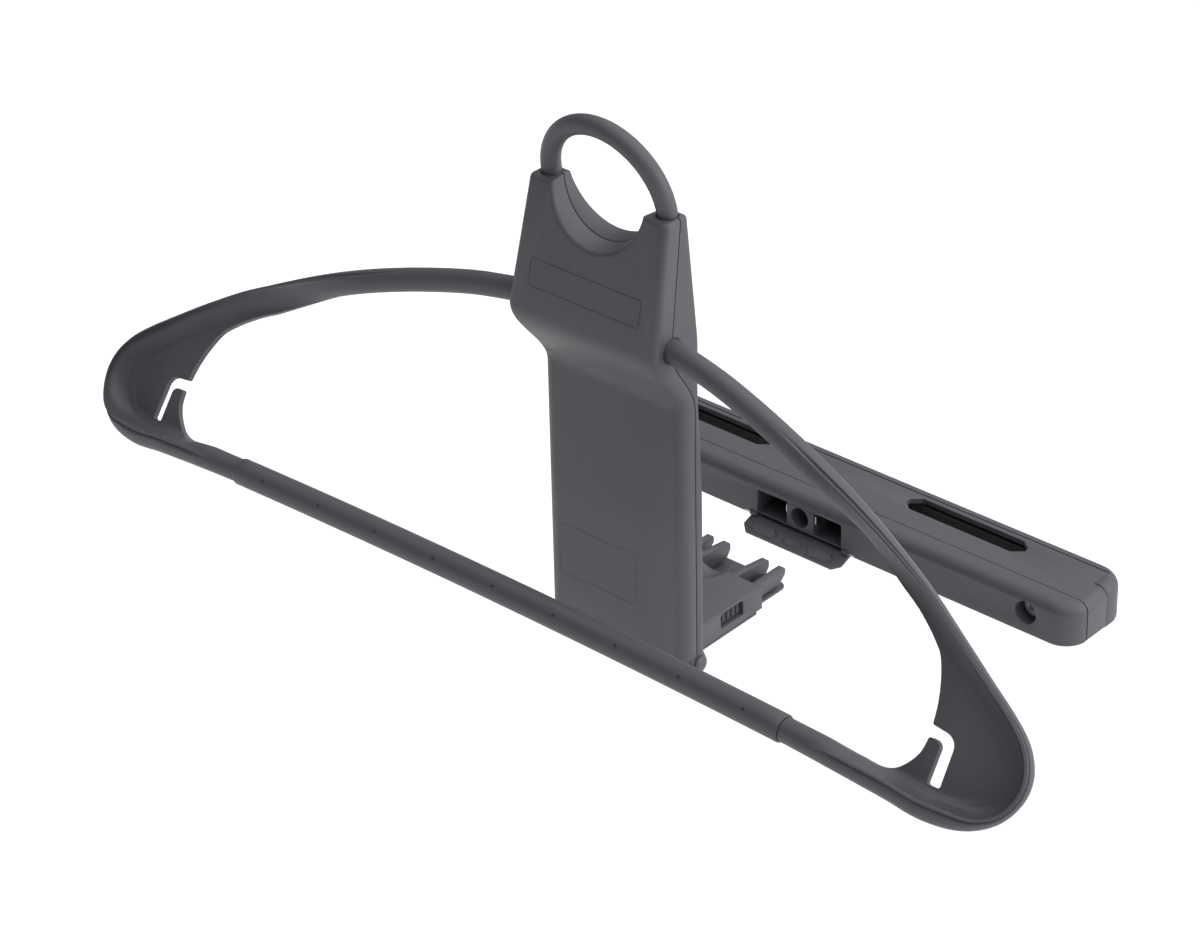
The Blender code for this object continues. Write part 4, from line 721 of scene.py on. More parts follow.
def notch_tool():
    """Cutter of the notch, flared where it meets the head's front and back faces."""
    flare = [(EAR_ROUND * (1 - sin(a)), EAR_ROUND * (1 - cos(a))) for a in quarter_turn(6)]
    height, radius = NOTCH_FRONT[1:]
    rings = [(height, radius + EAR_ROUND, lambda z: front_at(z) - NOTCH_PAST)]
    for wider, deeper in flare:
        rings.append((height, radius + wider, lambda z, d=deeper: front_at(z) + d))
    rings.append((*notch_at(NOTCH_MIDDLE), lambda z: NOTCH_MIDDLE))
    height, radius = NOTCH_REAR[1:]
    for wider, deeper in reversed(flare):
        rings.append((height, radius + wider, lambda z, d=deeper: back_at(z) - d))
    rings.append((height, radius + EAR_ROUND, lambda z: back_at(z) + NOTCH_PAST))
    return skin([[Vector((x, depth(min(z, MAST_TOP + 3)), z)) for x, z in circle((0, h), r, 96)]
                 for h, r, depth in rings])


def cut_head(obj):
    """Rounded edges, the notch below the ring and the ways for its legs."""
    def from_seam(m):
        return abs(m.y - seam_at(m.z))

    bevel_where(obj, EAR_ROUND, lambda m: m.z > MAST_TOP - 0.05 and from_seam(m) > 0.6, 4)
    boolean(obj, notch_tool())
    bevel_where(obj, SEAM_ROUND, lambda m: from_seam(m) < 0.3, 2)
    bevel_where(obj, FOOT_ROUND, lambda m: m.z < MAST_BOTTOM + 0.05 and from_seam(m) > 1, 2)
    leg = [ring_place(RING_RADIUS, up) for up in (-RING_LEG - GAP, 0, 5)]
    boolean(obj, tube_pair(leg, RING_ROD + GAP, FORWARDS))


def cut_arm_ways(obj):
    outside, leave = loop_point(*SHOULDER_PATH[-2]), loop_point(*SHOULDER_PATH[-1])
    inward = (leave - outside).normalized()
    knots = [leave - inward * ARM_RUN, leave + inward * ((leave.x - ARM_END + GAP) / -inward.x)]
    boolean(obj, tube_pair(knots, ROD_RADIUS + GAP, Vector((0, 0, 1))))


def groove(corners, radius, width, depth):
    """A fine line round a rectangle on the mast's front, with rounded corners."""
    path = panel(*corners, radius, radius, 4)
    rings = []
    count = len(path)
    for i in range(count):
        along = (Vector(path[(i + 1) % count]) - Vector(path[i - 1])).normalized()
        across = Vector((along.y, -along.x)) * width / 2
        ring = []
        for side, sunk in ((-1, -0.3), (1, -0.3), (0.35, depth), (-0.35, depth)):
            x, z = path[i][0] + side * across.x, path[i][1] + side * across.y
            ring.append(Vector((x, front_at(z) + sunk, z)))
        rings.append(ring)
    return skin(rings, closed=True)


def bore_pin(obj):
    """The hinge pin's way through the lugs or the plug."""
    boolean(obj, prism(circle(PIN_PLACE, PIN_RADIUS + GAP / 2, 32), "X", -PIN_WAY, PIN_WAY))


def add_bosses(obj, ends_at):
    """Posts for the cover screws, between two faces given by height."""
    bm = None
    for x, z in COVER_SCREWS:
        bm = prism(circle((x, z), BOSS_RADIUS, 24), "Y", *ends_at(z), bm)
    boolean(obj, bm, "UNION")


def cover(name, outer_at, edges):
    obj = new_piece(name, cover_block(outer_at, edges, 0, MAST_BOTTOM, MAST_TOP))
    cut_head(obj)
    return boolean(obj, cover_block(outer_at, edges, MAST_WALL, MAST_BOTTOM - PAST, CAVITY_TOP))


def front_cover():
    obj = cover("mast_front", front_at, MAST_EDGES)
    cut_arm_ways(obj)
    boolean(obj, groove(*LABEL))
    boolean(obj, groove(*FIELD))
    add_bosses(obj, lambda z: (front_at(z) + MAST_WALL - INTO, seam_at(z) - GAP))
    settle(obj, 32, "hanger", "front_cover")


def rear_cover():
    obj = cover("mast_back", back_at, BACK_EDGES)
    pin_y, pin_z = PIN_PLACE
    lug = [(pin_y + LUG_RADIUS * cos(a), pin_z + LUG_RADIUS * sin(a))
           for a in (pi + pi * k / 20 for k in range(21))]
    front = MAST_SEAM_FACE[0] + GAP
    lug += [(MAST_BACK[0] - BACK_EDGES[0], MAST_BOTTOM + LUG_RISE), (front, MAST_BOTTOM + LUG_RISE),
            (front, MAST_BOTTOM - GAP), (pin_y - LUG_RADIUS, MAST_BOTTOM - GAP)]
    boolean(obj, prism_pair(lug, *LUG_SPAN), "UNION")
    pocket = panel((-POCKET_HALF, POCKET_FOOT), (POCKET_HALF, POCKET_TOP), 0, 2, 6)
    boolean(obj, prism(pocket, "Y", *POCKET_DEPTH))

    def round_pocket(m):
        at_side = abs(abs(m.x) - POCKET_HALF) < 2.2 and m.z < POCKET_TOP + 0.1
        at_top = abs(m.z - POCKET_TOP) < 2.2 and abs(m.x) < POCKET_HALF + 0.1
        return (at_side or at_top) and abs(m.y - back_at(m.z)) < 0.1 and m.z > 2

    bevel_where(obj, POCKET_ROUND, round_pocket, 2)
    bore_pin(obj)
    cut_arm_ways(obj)
    add_bosses(obj, lambda z: (seam_at(z) + GAP, back_at(z) - MAST_WALL + INTO))
    bore, well, rim = COVER_WELLS
    bm = None
    for x, z in COVER_SCREWS:
        seat = back_at(z) - COVER_WELL_DEPTH - GAP
        steps = ((bore, seam_at(z) - PAST), (bore, seat), (well, seat), (well, back_at(z) - 0.3),
                 (rim, back_at(z) + 0.1), (rim, back_at(z) + PAST))
        bm = skin([[Vector((a, y, b)) for a, b in circle((x, z), r, 32)] for r, y in steps], bm=bm)
    boolean(obj, bm)
    settle(obj, 32, "hanger", "rear_cover")


def top_ring():
    arc = [ring_place(-RING_RADIUS * cos(a), RING_RADIUS * sin(a))
           for a in (pi * k / 64 for k in range(65))]
    points = [ring_place(-RING_RADIUS, -RING_LEG)] + arc + [ring_place(RING_RADIUS, -RING_LEG)]
    obj = new_piece("hanging_ring", tube(points, [RING_ROD] * len(points), 40, FORWARDS))
    settle(obj, 40, "hanger", "top_loop")


def hinge_pin():
    """The pin with its two slightly domed heads."""
    steps = [(r, MAST_WIDTHS[0] + rise) for r, rise in PIN_DOME]
    steps += [(r, -x) for r, x in reversed(steps)]
    obj = new_piece("foot_pin", skin([[Vector((x, y, z)) for y, z in circle(PIN_PLACE, r, 40)]
                                      for r, x in steps]))
    settle(obj, 50, "hanger", "hinge_pin")


# Clamp unit
BASE_HALF = 124.5
BASE_HIGH = 8.6
BASE_FRONT = -24.15
BASE_BACK = 10.85
BASE_CORNER = 10
BASE_UPPER_REACH = (5, 2.5, 4)  # how far its rounding reaches in: front, back, ends
BASE_UPPER_DROP = 4.2
BASE_LOWER_ROUND = 1.6
BASE_WALL = 2.2
OUTSIDE = 160  # beyond the clamp unit's ends
ABOVE = 20  # beyond its top and bottom
BEFORE = -40
BEHIND = 30
FRONT_SEAM = -14.9
BACK_SEAM = 6.6
JAW_END_SEAM = -2.6
JAW_END = 118.5  # the jaw wraps round the ends beyond this
SHELL_HOLLOW = 119.5
FRAME_HOLLOW = 115.5
PLATE_INSET = 0.25
SEAM_GAP = 0.16
FRONT_GAP = 0.6
FRONT_SEAM_ROUND = 0.15
BACK_SEAM_ROUND = 0.2
SLOT = (32.5, 86.5)
SLOT_HALF_WIDTH = 4.5
SLOT_POINT = 4
SLOT_BLUNT = 1.2
SLOT_ROUND = 0.7
FRAME_SADDLE = ((-8.6, -6.1), (-6.8, 6.5))  # y and z of the block that backs the fixed pads
SADDLE_PAST = 3  # it goes on past the slot
JAW_SADDLE = (6.8, 5)  # where the jaw's own block starts, and half its height
SCREWS = ((-104, 0.8), (104, 0.8))
SCREW_BOSS = 6.4
SCREW_WELL = (4.6, 7.8)  # radius and depth
SCREW_BORE = 2.3
HOLE_ROUND = 0.35
JAW_BORE = (-0.8, 9.65)
NUT_BLOCK = (5.4, 0.2)  # half its size, and where it starts
NUT_POCKET = (4.4, 6.4, 1.9, 5.7)  # radius, height of its mouth, front and back
WINDOW = (6.7, 20)
WINDOW_TOP = 4
WINDOW_ROUND = 0.8
WINDOW_WAY = (-30, 0)
SILL = -6
LIP_BACK = -22.6
LIP_FOOT = -8.1
FLAP_PIN = (-23.55, -7.4)
FLAP_DROOP = radians(20)
FLAP_HALF = 23.4
FLAP_ARM = 20.5
FLAP_ARM_ROOM = 1.5  # radius of the room round the flap's arms
FLAP_ARM_RADIUS = 1.2
FLAP_BORE = 0.75
FLAP_ARM_BORE = (19, 25)
FLAP_BORE_END = 26.6


def envelope_ring(z, inset, rounds):
    front = BASE_FRONT + inset * rounds[0]
    back = BASE_BACK - inset * rounds[1]
    half = BASE_HALF - inset * rounds[2]
    radius = BASE_CORNER - inset * min(rounds)
    points = []
    for cx, cy, quarter in ((half - radius, back - radius, 0), (-half + radius, back - radius, 1),
                            (-half + radius, front + radius, 2), (half - radius, front + radius, 3)):
        for k in range(15):
            a = pi / 2 * (quarter + k / 14)
            points.append(Vector((cx + radius * cos(a), cy + radius * sin(a), z)))
    return points


def envelope(shrink=0):
    """The clamp unit's whole outer form, or the same form made a little thinner."""
    high = BASE_HIGH - shrink
    rings = []
    for a in quarter_turn(8):
        rings.append(envelope_ring(-high + BASE_LOWER_ROUND * (1 - cos(a)), 1 - sin(a),
                                   (BASE_LOWER_ROUND,) * 3))
    for a in quarter_turn(12):
        rings.append(envelope_ring(high - BASE_UPPER_DROP * (1 - sin(a)), 1 - cos(a),
                                   BASE_UPPER_REACH))
    return skin(rings)


def on_skin(m):
    """Whether a point lies near the clamp unit's outer form."""
    return (abs(m.x) > BASE_HALF - 4.5 or abs(m.z) > BASE_HIGH - 4.4
            or m.y < BASE_FRONT + 1 or m.y > BASE_BACK - 1)


def at_jaw_seam(m):
    """Whether an outer edge belongs to the seam between the frame and the jaw."""
    straight = abs(m.y - BACK_SEAM) < 0.3 and abs(m.x) < JAW_END + 0.3
    wrap = abs(m.y - JAW_END_SEAM) < 0.3 and abs(m.x) > JAW_END - 0.3
    side = abs(abs(m.x) - JAW_END) < 0.3 and JAW_END_SEAM < m.y < BACK_SEAM + 0.1
    return (straight or wrap or side) and on_skin(m)


def base_front_shell():
    obj = new_piece("clamp_front", envelope())
    seam = FRONT_SEAM - FRONT_GAP / 2
    cut_box(obj, (-OUTSIDE, BEFORE, -ABOVE), (OUTSIDE, seam, ABOVE), "INTERSECT")
    bevel_where(obj, FRONT_SEAM_ROUND, lambda m: m.y > FRONT_SEAM - 0.4, 2)
    cut_box(obj, (-SHELL_HOLLOW, BASE_FRONT + BASE_WALL, -BASE_HIGH + BASE_WALL),
            (SHELL_HOLLOW, FRONT_SEAM + PAST, BASE_HIGH - BASE_WALL))
    drill(obj, SCREWS, SCREW_BOSS, BASE_FRONT + BASE_WALL - INTO, seam, operation="UNION")
    drill(obj, SCREWS, SCREW_WELL[0], BASE_FRONT - PAST, BASE_FRONT + SCREW_WELL[1])
    drill(obj, SCREWS, SCREW_BORE, BASE_FRONT, FRONT_SEAM + PAST)
    wide = WINDOW[1]
    mouth = panel((-wide, SILL), (wide, WINDOW_TOP), 0, WINDOW_ROUND, 5)
    boolean(obj, prism(mouth, "Y", BASE_FRONT - PAST, BASE_FRONT + BASE_WALL + PAST))

    def at_front(m):
        far = min((Vector((m.x - x, m.z - z)).length for x, z in SCREWS))
        at_mouth = abs(m.x) < wide + 0.1 and m.z > -BASE_HIGH + BASE_LOWER_ROUND
        return m.y < BASE_FRONT + 0.05 and (far < 5 or at_mouth)

    bevel_where(obj, HOLE_ROUND, at_front, 2)
    cut_box(obj, (-wide, BASE_FRONT, -BASE_HIGH - PAST), (wide, LIP_BACK + 0.05, SILL))
    cut_box(obj, (-wide, LIP_BACK, LIP_FOOT), (wide, FRONT_SEAM + PAST, SILL))
    for side in (-1, 1):
        low, high = span(side, wide - INTO, FLAP_HALF + GAP)
        cut_box(obj, (low, BASE_FRONT - PAST, -BASE_HIGH - PAST),
                (high, FLAP_PIN[0], FLAP_PIN[1] + FLAP_ARM_ROOM))
        boolean(obj, prism(circle(FLAP_PIN, FLAP_ARM_ROOM, 24), "X", low, high))
    boolean(obj, prism_pair(circle(FLAP_PIN, FLAP_BORE, 16), FLAP_HALF, FLAP_BORE_END))
    settle(obj, 30, "base", "base_front_shell")


def slot_tool():
    """The two post slots: pointed ends with softened corners."""
    inner, outer = SLOT
    lower = [(inner, -SLOT_BLUNT, 0.7), (inner + SLOT_POINT, -SLOT_HALF_WIDTH, 1),
             (outer - SLOT_POINT, -SLOT_HALF_WIDTH, 1), (outer, -SLOT_BLUNT, 0.7)]
    corners = lower + [(x, -y, radius) for x, y, radius in reversed(lower)]
    bm = None
    for side in (-1, 1):
        bm = prism([(side * x, y) for x, y in rounded(corners, 4)], "Z", -ABOVE, ABOVE, bm)
    return bm


def region(far_y, end_y, seam_y, seam_half):
    """From a far edge to the jaw's seam, which has a step at both ends."""
    outline = [(-OUTSIDE, far_y), (OUTSIDE, far_y), (OUTSIDE, end_y), (seam_half, end_y),
               (seam_half, seam_y), (-seam_half, seam_y), (-seam_half, end_y), (-OUTSIDE, end_y)]
    return prism(outline, "Z", -ABOVE, ABOVE)


def base_frame():
    obj = new_piece("clamp_frame", envelope(PLATE_INSET))
    boolean(obj, region(FRONT_SEAM + FRONT_GAP / 2, JAW_END_SEAM - SEAM_GAP / 2,
                        BACK_SEAM - SEAM_GAP / 2, JAW_END), "INTERSECT")
    boolean(obj, slot_tool())

    def at_slots(m):
        inside = SLOT[0] - 0.1 < abs(m.x) < SLOT[1] + 0.1 and abs(m.y) < SLOT_HALF_WIDTH + 0.1
        return inside and m.z > 7

    def at_seams(m):
        return m.y < FRONT_SEAM + 0.4 and on_skin(m) or at_jaw_seam(m)

    bevel_where(obj, SLOT_ROUND, at_slots, 3)
    bevel_where(obj, BACK_SEAM_ROUND, at_seams, 2)
    cut_box(obj, (-FRAME_HOLLOW, FRONT_SEAM - PAST, -ABOVE),
            (FRAME_HOLLOW, BACK_SEAM + PAST, BASE_HIGH - BASE_WALL))
    cut_pair(obj, SLOT[0] - SADDLE_PAST, SLOT[1] + SADDLE_PAST, *FRAME_SADDLE, "UNION")
    settle(obj, 30, "base", "base_frame")


def clamp_jaw():
    obj = new_piece("clamp_rear", envelope())
    boolean(obj, region(BEHIND, JAW_END_SEAM + SEAM_GAP / 2, BACK_SEAM + SEAM_GAP / 2,
                        JAW_END + SEAM_GAP), "INTERSECT")
    bevel_where(obj, BACK_SEAM_ROUND, at_jaw_seam, 2)
    block, start = NUT_BLOCK
    saddle, tall = JAW_SADDLE
    back = BACK_SEAM + PAST
    middle = SCREWS[1][0]
    cut_pair(obj, middle - block, middle + block, (start, -block), (back, block), "UNION")
    cut_pair(obj, SLOT[0] + SLOT_POINT, SLOT[1] - SLOT_POINT, (saddle, -tall), (back, tall), "UNION")
    radius, mouth, front, back = NUT_POCKET
    bm = None
    for x, z in SCREWS:
        hexagon = circle((x, z), radius, 6)
        pocket = [(x + radius, mouth), (x - radius, mouth)] + hexagon[3:] + hexagon[:1]
        bm = prism(pocket, "Y", front, back, bm)
    boolean(obj, bm)
    drill(obj, SCREWS, SCREW_BORE, *JAW_BORE, 24)
    settle(obj, 30, "jaw", "clamp_jaw")


# Socket: its block, floor, nose and hole, and the leaves of the catch springs
SOCKET_BLOCK = ((-24.1, -21.65, SILL), (24.1, -4.9, 6.2))
SOCKET_FLOOR = ((-21, -23.4, SILL - 0.6), (21, -4.9, SILL + 0.05))
NOSE = ((-6.4, SILL), (6.4, 3.7), 0, 0.8)
NOSE_DEPTH = (-23.75, -20.9)
NOSE_ROUND = 0.4
SOCKET_HOLE = (-0.9, 4.1, 9)  # height, radius and depth
SOCKET_BORE = 1.7
LEAF = ((-22.9, 1.9, 0.5), (-22.9, -1.8, 0.5), (-18.4, -2.2, 0.5), (-17.6, 2.3, 0.5))
LEAF_SPAN = (6.6, 7.15)
# Flap: the right half of its plate, its thickness below the pin and its three raised pads
FLAP_PLATE = ((FLAP_HALF, -0.4, 0), (FLAP_HALF, 5.4, 0.5), (FLAP_HALF - 3, 8.4, 0.5))
FLAP_LEVELS = (-2.3, -0.9)
FLAP_ROUND = 0.35
FLAP_PADS = ((-13.35, 5.9, 3.1, 7.5, 0.3), (13.35, 5.9, 3.1, 7.5, 0.3), (0, 4.6, 3.4, 7.2, -0.2))
FLAP_PAD_CORNER = 1.3
FLAP_PAD_ROOT = -1.1
FLAP_PAD_SLOPE = 0.7


def socket():
    """Behind the socket's mouth: a nose with a hole, and two windows with a floor."""
    obj = new_piece("socket", box(*SOCKET_BLOCK))
    boolean(obj, prism(panel(*NOSE, 4), "Y", *NOSE_DEPTH), "UNION")
    bm = None
    for side in (-1, 1):
        a, b = span(side, *WINDOW)
        window = panel((a, SILL - PAST), (b, WINDOW_TOP), 0, WINDOW_ROUND, 4)
        bm = prism(window, "Y", *WINDOW_WAY, bm)
    boolean(obj, bm)
    bevel_where(obj, NOSE_ROUND, lambda m: m.y < NOSE_DEPTH[0] + 0.05, 2)
    height, radius, depth = SOCKET_HOLE
    drill(obj, [(0, height)], radius, BASE_FRONT - PAST, BASE_FRONT + depth)
    drill(obj, [(0, height)], SOCKET_BORE, BASE_FRONT, 0, 16)
    cut_box(obj, *SOCKET_FLOOR, "UNION")
    settle(obj, 30, "base", "socket_block")
    leaves = new_piece("catch_leaves", prism_pair(rounded(LEAF, 4), *LEAF_SPAN))
    settle(leaves, 30, "base", look="steel")


def flap_place(reach, height):
    """A point of the open flap in side view: so far out along it, so far above its pin."""
    return (FLAP_PIN[0] - reach * cos(FLAP_DROOP) - height * sin(FLAP_DROOP),
            FLAP_PIN[1] - reach * sin(FLAP_DROOP) + height * cos(FLAP_DROOP))


def flap_slab(corners, low, high, inset=0):
    """A slab lying along the flap; corners are across and reach, drawn in at the top."""
    cx = sum(a for a, b in corners) / len(corners)
    cy = sum(b for a, b in corners) / len(corners)
    rings = []
    for height, pull in ((low, 0), (high, inset)):
        ring = []
        for a, b in corners:
            x = a - copysign(min(pull, abs(a - cx)), a - cx)
            y = b - copysign(min(pull, abs(b - cy)), b - cy)
            ring.append(Vector((x, *flap_place(y, height))))
        rings.append(ring)
    return skin(rings)


def socket_flap():
    obj = new_piece("flap", flap_slab(rounded(both_halves(FLAP_PLATE), 3), *FLAP_LEVELS))
    low, high = FLAP_LEVELS

    def at_rim(m):
        up = Vector((0, -sin(FLAP_DROOP), cos(FLAP_DROOP)))
        away = (m - Vector((0, *flap_place(0, high)))).dot(up)
        return abs(away) < 0.1 or abs(away + high - low) < 0.1

    bevel_where(obj, FLAP_ROUND, at_rim, 2)
    cut = FLAP_PAD_CORNER
    for middle, half, near, far, top in FLAP_PADS:
        right = [(half - cut, near, 0), (half, near + cut, 0), (half, far - cut, 0),
                 (half - cut, far, 0)]
        corners = [(middle + a, b) for a, b, radius in both_halves(right)]
        boolean(obj, flap_slab(corners, FLAP_PAD_ROOT, top, FLAP_PAD_SLOPE), "UNION")
    arms = prism_pair(circle(FLAP_PIN, FLAP_ARM_RADIUS, 24), FLAP_ARM, FLAP_HALF - 0.05)
    boolean(obj, arms, "UNION")
    boolean(obj, prism_pair(circle(FLAP_PIN, FLAP_BORE, 16), *FLAP_ARM_BORE))
    settle(obj, 30, "flap", "socket_flap")


# Plug
PLUG_HALF = 22.5
PLUG_TOP = 3.2
PLUG_FLOOR = -6.6
PLUG_WALL = 1.8
PLUG_SKIN = 1  # its inner blocks end so far inside its faces
PLUG_BACK = -73.2
PLUG_TIP = -54.8
PLUG_SIDE = (
    (-127.2, -4.6, 1), (-125.2, PLUG_FLOOR, 0), (PLUG_BACK, PLUG_FLOOR, 0),
    (PLUG_BACK, PLUG_TOP, 1.6), (-115.1, PLUG_TOP, 1.5), (-118.3, 0.4, 0.8), (-127.2, 0.4, 0.3),
)
PLUG_ROUND = 1.2
PLUG_HOLLOW = (20.7, -110)  # half its width, and its end at the hinge
DIP_PLACE = (0, -72, 4.6)  # the hollow for a fingertip above the prongs
DIP_SIZE = (7.7, 13, 4.2, 1)
PRONG_ROOT = PLUG_BACK - 4
PRONG = (
    (PRONG_ROOT, -5.6, 0), (PLUG_TIP - 2, -5.6, 1.2), (PLUG_TIP, -2.5, 0.9),
    (PLUG_TIP, 0.3, 1.1), (PLUG_BACK + 3, 2.4, 0.8), (PRONG_ROOT, 2.4, 0),
)
PRONG_ROUND = 0.4
PRONG_INNER = (7.6, 10.8)
PRONG_OUTER = (15.6, 18.4)
BUTTON_Y = (-96.4, -84.4)
BUTTON_Z = (-3.6, 2)
BUTTON_SPAN = (18.7, 21.1)
BUTTON_ROUND = 0.3  # of its window's edge
WINDOW_SPAN = (16.4, 23.5)
FIN_ROUND = 0.5
FIN_WAY = (13, 19)
FIN_WAY_TOP = 0.7
BUTTON_RIBS = 4
BUTTON_RIB_STEPS = ((-0.05, 0), (0.35, 0.1), (0.6, 0.4))  # how far out, and how far drawn in
BLADE = (
    (BUTTON_Y[0], -5.6, 0.4), (PLUG_TIP - 3.2, -5.6, 2.2), (PLUG_TIP, -2.6, 1.6),
    (PLUG_TIP, 0.3, 1.2), (PLUG_BACK + 2.4, 0.3, 0.5), (PLUG_BACK + 0.8, 0.4, 0.3),
    (BUTTON_Y[0], 0.4, 0.3),
)
PLATE_LEVELS = (-7.9, -6.9)
PLATE_TIP_HALF = 19.4
PLATE_ROUND = 0.25
PLATE_NARROW = PLUG_BACK - 1.2
PLATE_RIGHT = (
    (PLUG_HALF, -125.2, 1), (PLUG_HALF, PLATE_NARROW - 2, 0.5),
    (PLATE_TIP_HALF, PLATE_NARROW, 0.5), (PLATE_TIP_HALF, PLUG_TIP, 3.2),
)
RIB_HALF = 7  # of the block between the two springs
BRIDGE = (9, -1.4)  # from that block to the prongs: half its width, and its underside
SPRING_AXIS = (-90.4, -2.4)
SPRING_SPAN = (7.3, 15.3)
SPRING_RADIUS = 1.8
SPRING_WIRE = 0.3
SPRING_TURNS = 4
TURN_STEPS = 24


def plug_body():
    obj = new_piece("plug", prism(rounded(PLUG_SIDE, 6), "X", -PLUG_HALF, PLUG_HALF))
    bevel_where(obj, PLUG_ROUND,
                lambda m: abs(m.x) > PLUG_HALF - 0.05 and m.z > PLUG_FLOOR + 0.1, 4)
    heads = prism_pair(circle(PIN_PLACE, PIN_HEAD_RADIUS, 40), PLUG_HALF - INTO, PLUG_HALF + 2.3)
    boolean(obj, heads, "UNION")
    half, hollow = PLUG_HOLLOW
    near, far = BUTTON_Y
    cut_box(obj, (-half, hollow, PLUG_FLOOR - PAST),
            (half, PLUG_BACK - PLUG_WALL, PLUG_TOP - PLUG_WALL))
    top = PLUG_TOP - PLUG_SKIN
    cut_box(obj, (-RIB_HALF, near, PLUG_FLOOR + PLUG_SKIN), (RIB_HALF, far, top), "UNION")
    cut_box(obj, (-BRIDGE[0], far - INTO, BRIDGE[1]), (BRIDGE[0], PLUG_BACK - PLUG_SKIN, top), "UNION")
    bm = bmesh.new()
    bmesh.ops.create_uvsphere(bm, u_segments=48, v_segments=32, radius=1,
                              matrix=Matrix.Translation(DIP_PLACE) @ Matrix.Diagonal(DIP_SIZE))
    boolean(obj, bm)
    prongs = new_piece("prongs", prism_pair(rounded(PRONG, 4), *PRONG_INNER))
    bevel_where(prongs, PRONG_ROUND, lambda m: m.y > PRONG_ROOT + 0.1, 2)
    with_tool(obj, prongs, "UNION")
    window = panel((near - GAP, BUTTON_Z[0] - GAP), (far + GAP, BUTTON_Z[1] + GAP), 0.8, 1.4, 5)
    boolean(obj, prism_pair(window, *WINDOW_SPAN))
    cut_pair(obj, *FIN_WAY, (PLUG_BACK - 2.8, PLUG_FLOOR - 0.05), (PLUG_BACK + PAST, FIN_WAY_TOP))

    def at_window(m):
        inside = near - 0.4 < m.y < far + 0.4
        return inside and abs(abs(m.x) - PLUG_HALF) < 0.05 and m.z > -4

    bevel_where(obj, BUTTON_ROUND, at_window, 2)
    bore_pin(obj)
    settle(obj, 32, "plug", "plug_body")


def plug_plate():
    outline = rounded(both_halves(PLATE_RIGHT), 6)
    obj = new_piece("plug_plate", prism(outline, "Z", *PLATE_LEVELS))
    bevel_where(obj, PLATE_ROUND, lambda m: True, 2)
    settle(obj, 32, "plug", "plug_base_plate")


def add_ribs(button, side):
    """Raised ribs with sloping sides on a button's face."""
    y0 = BUTTON_Y[0]
    z0, z1 = BUTTON_Z[0] + 1, BUTTON_Z[1] - 1
    pitch = (BUTTON_Y[1] - y0) / (2 * BUTTON_RIBS + 1)
    for k in range(BUTTON_RIBS):
        start = y0 + (2 * k + 1) * pitch
        rings = []
        for out, pull in BUTTON_RIB_STEPS:
            rib = panel((start + pull, z0 + pull), (start + pitch - pull, z1 - pull), 0, 0, 1)
            rings.append([Vector((side * (BUTTON_SPAN[1] + out), y, z)) for y, z in rib])
        boolean(button, skin(rings), "UNION")


def latches():
    """The two sprung outer prongs with their ribbed buttons."""
    pad = panel((BUTTON_Y[0], BUTTON_Z[0]), (BUTTON_Y[1], BUTTON_Z[1]), 0.7, 1.2, 4)
    for word, side in SIDES:
        obj = new_piece("fin_" + word, prism(rounded(BLADE, 5), "X", *span(side, *PRONG_OUTER)))
        bevel_where(obj, FIN_ROUND, lambda m: m.y > PLUG_BACK, 2)
        settle(obj, 32, "latch_" + word, "latch_fin_" + word)
        button = new_piece("button_" + word, prism(pad, "X", *span(side, *BUTTON_SPAN)))
        bevel_where(button, PLATE_ROUND, lambda m: abs(m.x) > BUTTON_SPAN[1] - 0.05, 2)
        add_ribs(button, side)
        settle(button, 32, "latch_" + word, "release_button_" + word, "inner_plastic")


def springs():
    """Coils behind the buttons, drawn at one length; the real ones shorten as the buttons go in."""
    y, z = SPRING_AXIS
    inner, outer = SPRING_SPAN
    count = SPRING_TURNS * TURN_STEPS
    for word, side in SIDES:
        points = []
        for k in range(count + 1):
            a = 2 * pi * k / TURN_STEPS
            x = blend(inner + SPRING_WIRE, outer - SPRING_WIRE, k / count)
            points.append(Vector((side * x, y + SPRING_RADIUS * cos(a),
                                  z + SPRING_RADIUS * sin(a))))
        obj = new_piece("coil_" + word,
                        tube(points, [SPRING_WIRE] * len(points), 10, Vector((1, 0, 0))))
        settle(obj, 50, "plug", "button_spring_" + word, "steel")
        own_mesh(obj)


def carried_over():
    """Finish and smooth shading of the solids that are shown as they are."""
    slots = {row["node"]: row["material_slot"] for row in frame["record"]["subparts"]}
    for name, obj in frame["nodes"].items():
        if not obj.hide_render:
            dress(obj, slots[name], 30)


def seen_directly(tree):
    """1 for what the camera sees, also by way of a reflection or through a clear piece."""
    path = node(tree, "LightPath", {})
    total = path.outputs["Is Camera Ray"]
    for word in ("Is Glossy Ray", "Is Transmission Ray"):
        add = node(tree, "Math", {0: total, 1: path.outputs[word]}, operation="ADD", use_clamp=True)
        total = add.outputs[0]
    return total


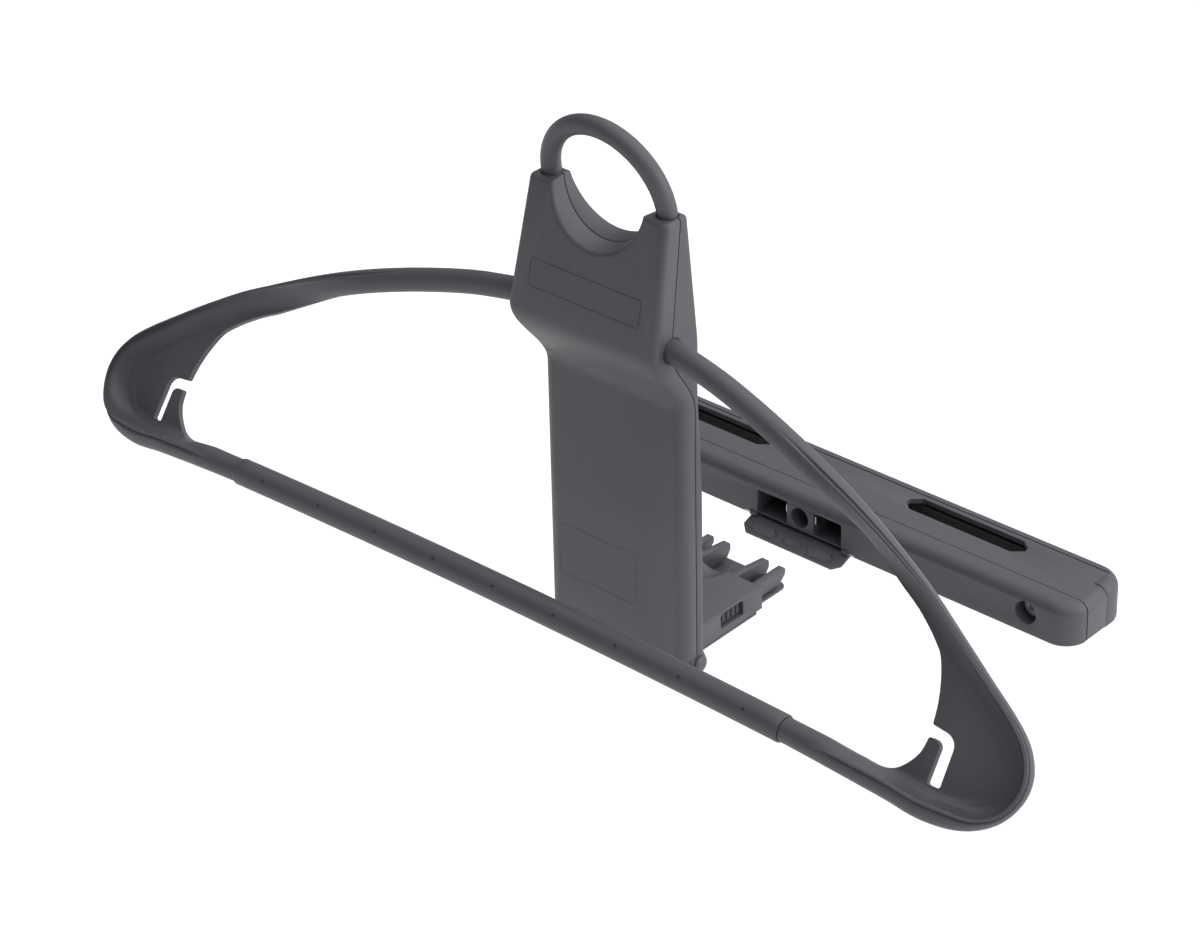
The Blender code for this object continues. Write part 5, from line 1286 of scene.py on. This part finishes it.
def stage():
    """A pale floor that takes the shadow, and glows a little where it is seen."""
    floor_z = cad_low.z / MM - FLOOR_DROP
    floor = new_piece("floor", box((-FLOOR_SIZE, -FLOOR_SIZE, floor_z - FLOOR_THICK),
                                   (FLOOR_SIZE, FLOOR_SIZE, floor_z)))
    made, tree, main = principled("floor_look")
    glow = node(tree, "Math", {0: seen_directly(tree), 1: FLOOR_GLOW}, operation="MULTIPLY")
    feed(tree, main, {"Base Color": PALE, "Roughness": FLOOR_ROUGHNESS, "Emission Color": WHITE,
                      "Emission Strength": glow.outputs[0]})
    floor.data.materials.append(made)


def world():
    """A soft sky, bright overhead and dim all round."""
    made = bpy.data.worlds.new("studio")
    bpy.context.scene.world = made
    made.use_nodes = True
    tree = made.node_tree
    way = node(tree, "TexCoord", {}).outputs["Generated"]
    towards = node(tree, "VectorMath", {0: way, 1: Vector(SKY_AXIS).normalized()},
                   operation="DOT_PRODUCT")
    level = node(tree, "MapRange", {
        "Value": towards.outputs["Value"], "From Min": SKY_COSINES[0], "From Max": SKY_COSINES[1],
        "To Min": SKY_LEVELS[0], "To Max": SKY_LEVELS[1]}, interpolation_type="SMOOTHSTEP")
    feed(tree, tree.nodes["Background"], {"Color": WHITE, "Strength": level.outputs["Result"]})


def side_light():
    data = bpy.data.lights.new("side_light", "AREA")
    data.shape = "DISK"
    data.size = LAMP_SIZE * MM
    data.energy = LAMP_WATTS
    obj = link("side_light", data)
    obj.location = Vector(LAMP_PLACE) * MM
    obj.rotation_mode = "QUATERNION"
    obj.rotation_quaternion = (Vector(LAMP_AIM) * MM - obj.location).to_track_quat("-Z", "Y")


def camera():
    data = bpy.data.cameras.new("camera")
    data.sensor_width = CAMERA_SENSOR
    data.lens = CAMERA_LENS
    data.clip_start, data.clip_end = CAMERA_SIGHT
    obj = link("camera", data)
    back = CAMERA_RIGHT.cross(CAMERA_UP)
    turn = Matrix((CAMERA_RIGHT, CAMERA_UP, back)).transposed().to_4x4()
    obj.matrix_world = Matrix.Translation(Vector(CAMERA_PLACE) * MM) @ turn
    bpy.context.scene.camera = obj


trouser_bar()
shoulders()
front_cover()
rear_cover()
top_ring()
hinge_pin()
base_front_shell()
base_frame()
clamp_jaw()
socket()
socket_flap()
plug_body()
plug_plate()
latches()
springs()
carried_over()
stage()
world()
side_light()
camera()
bpy.context.scene.view_settings.view_transform = "Standard"
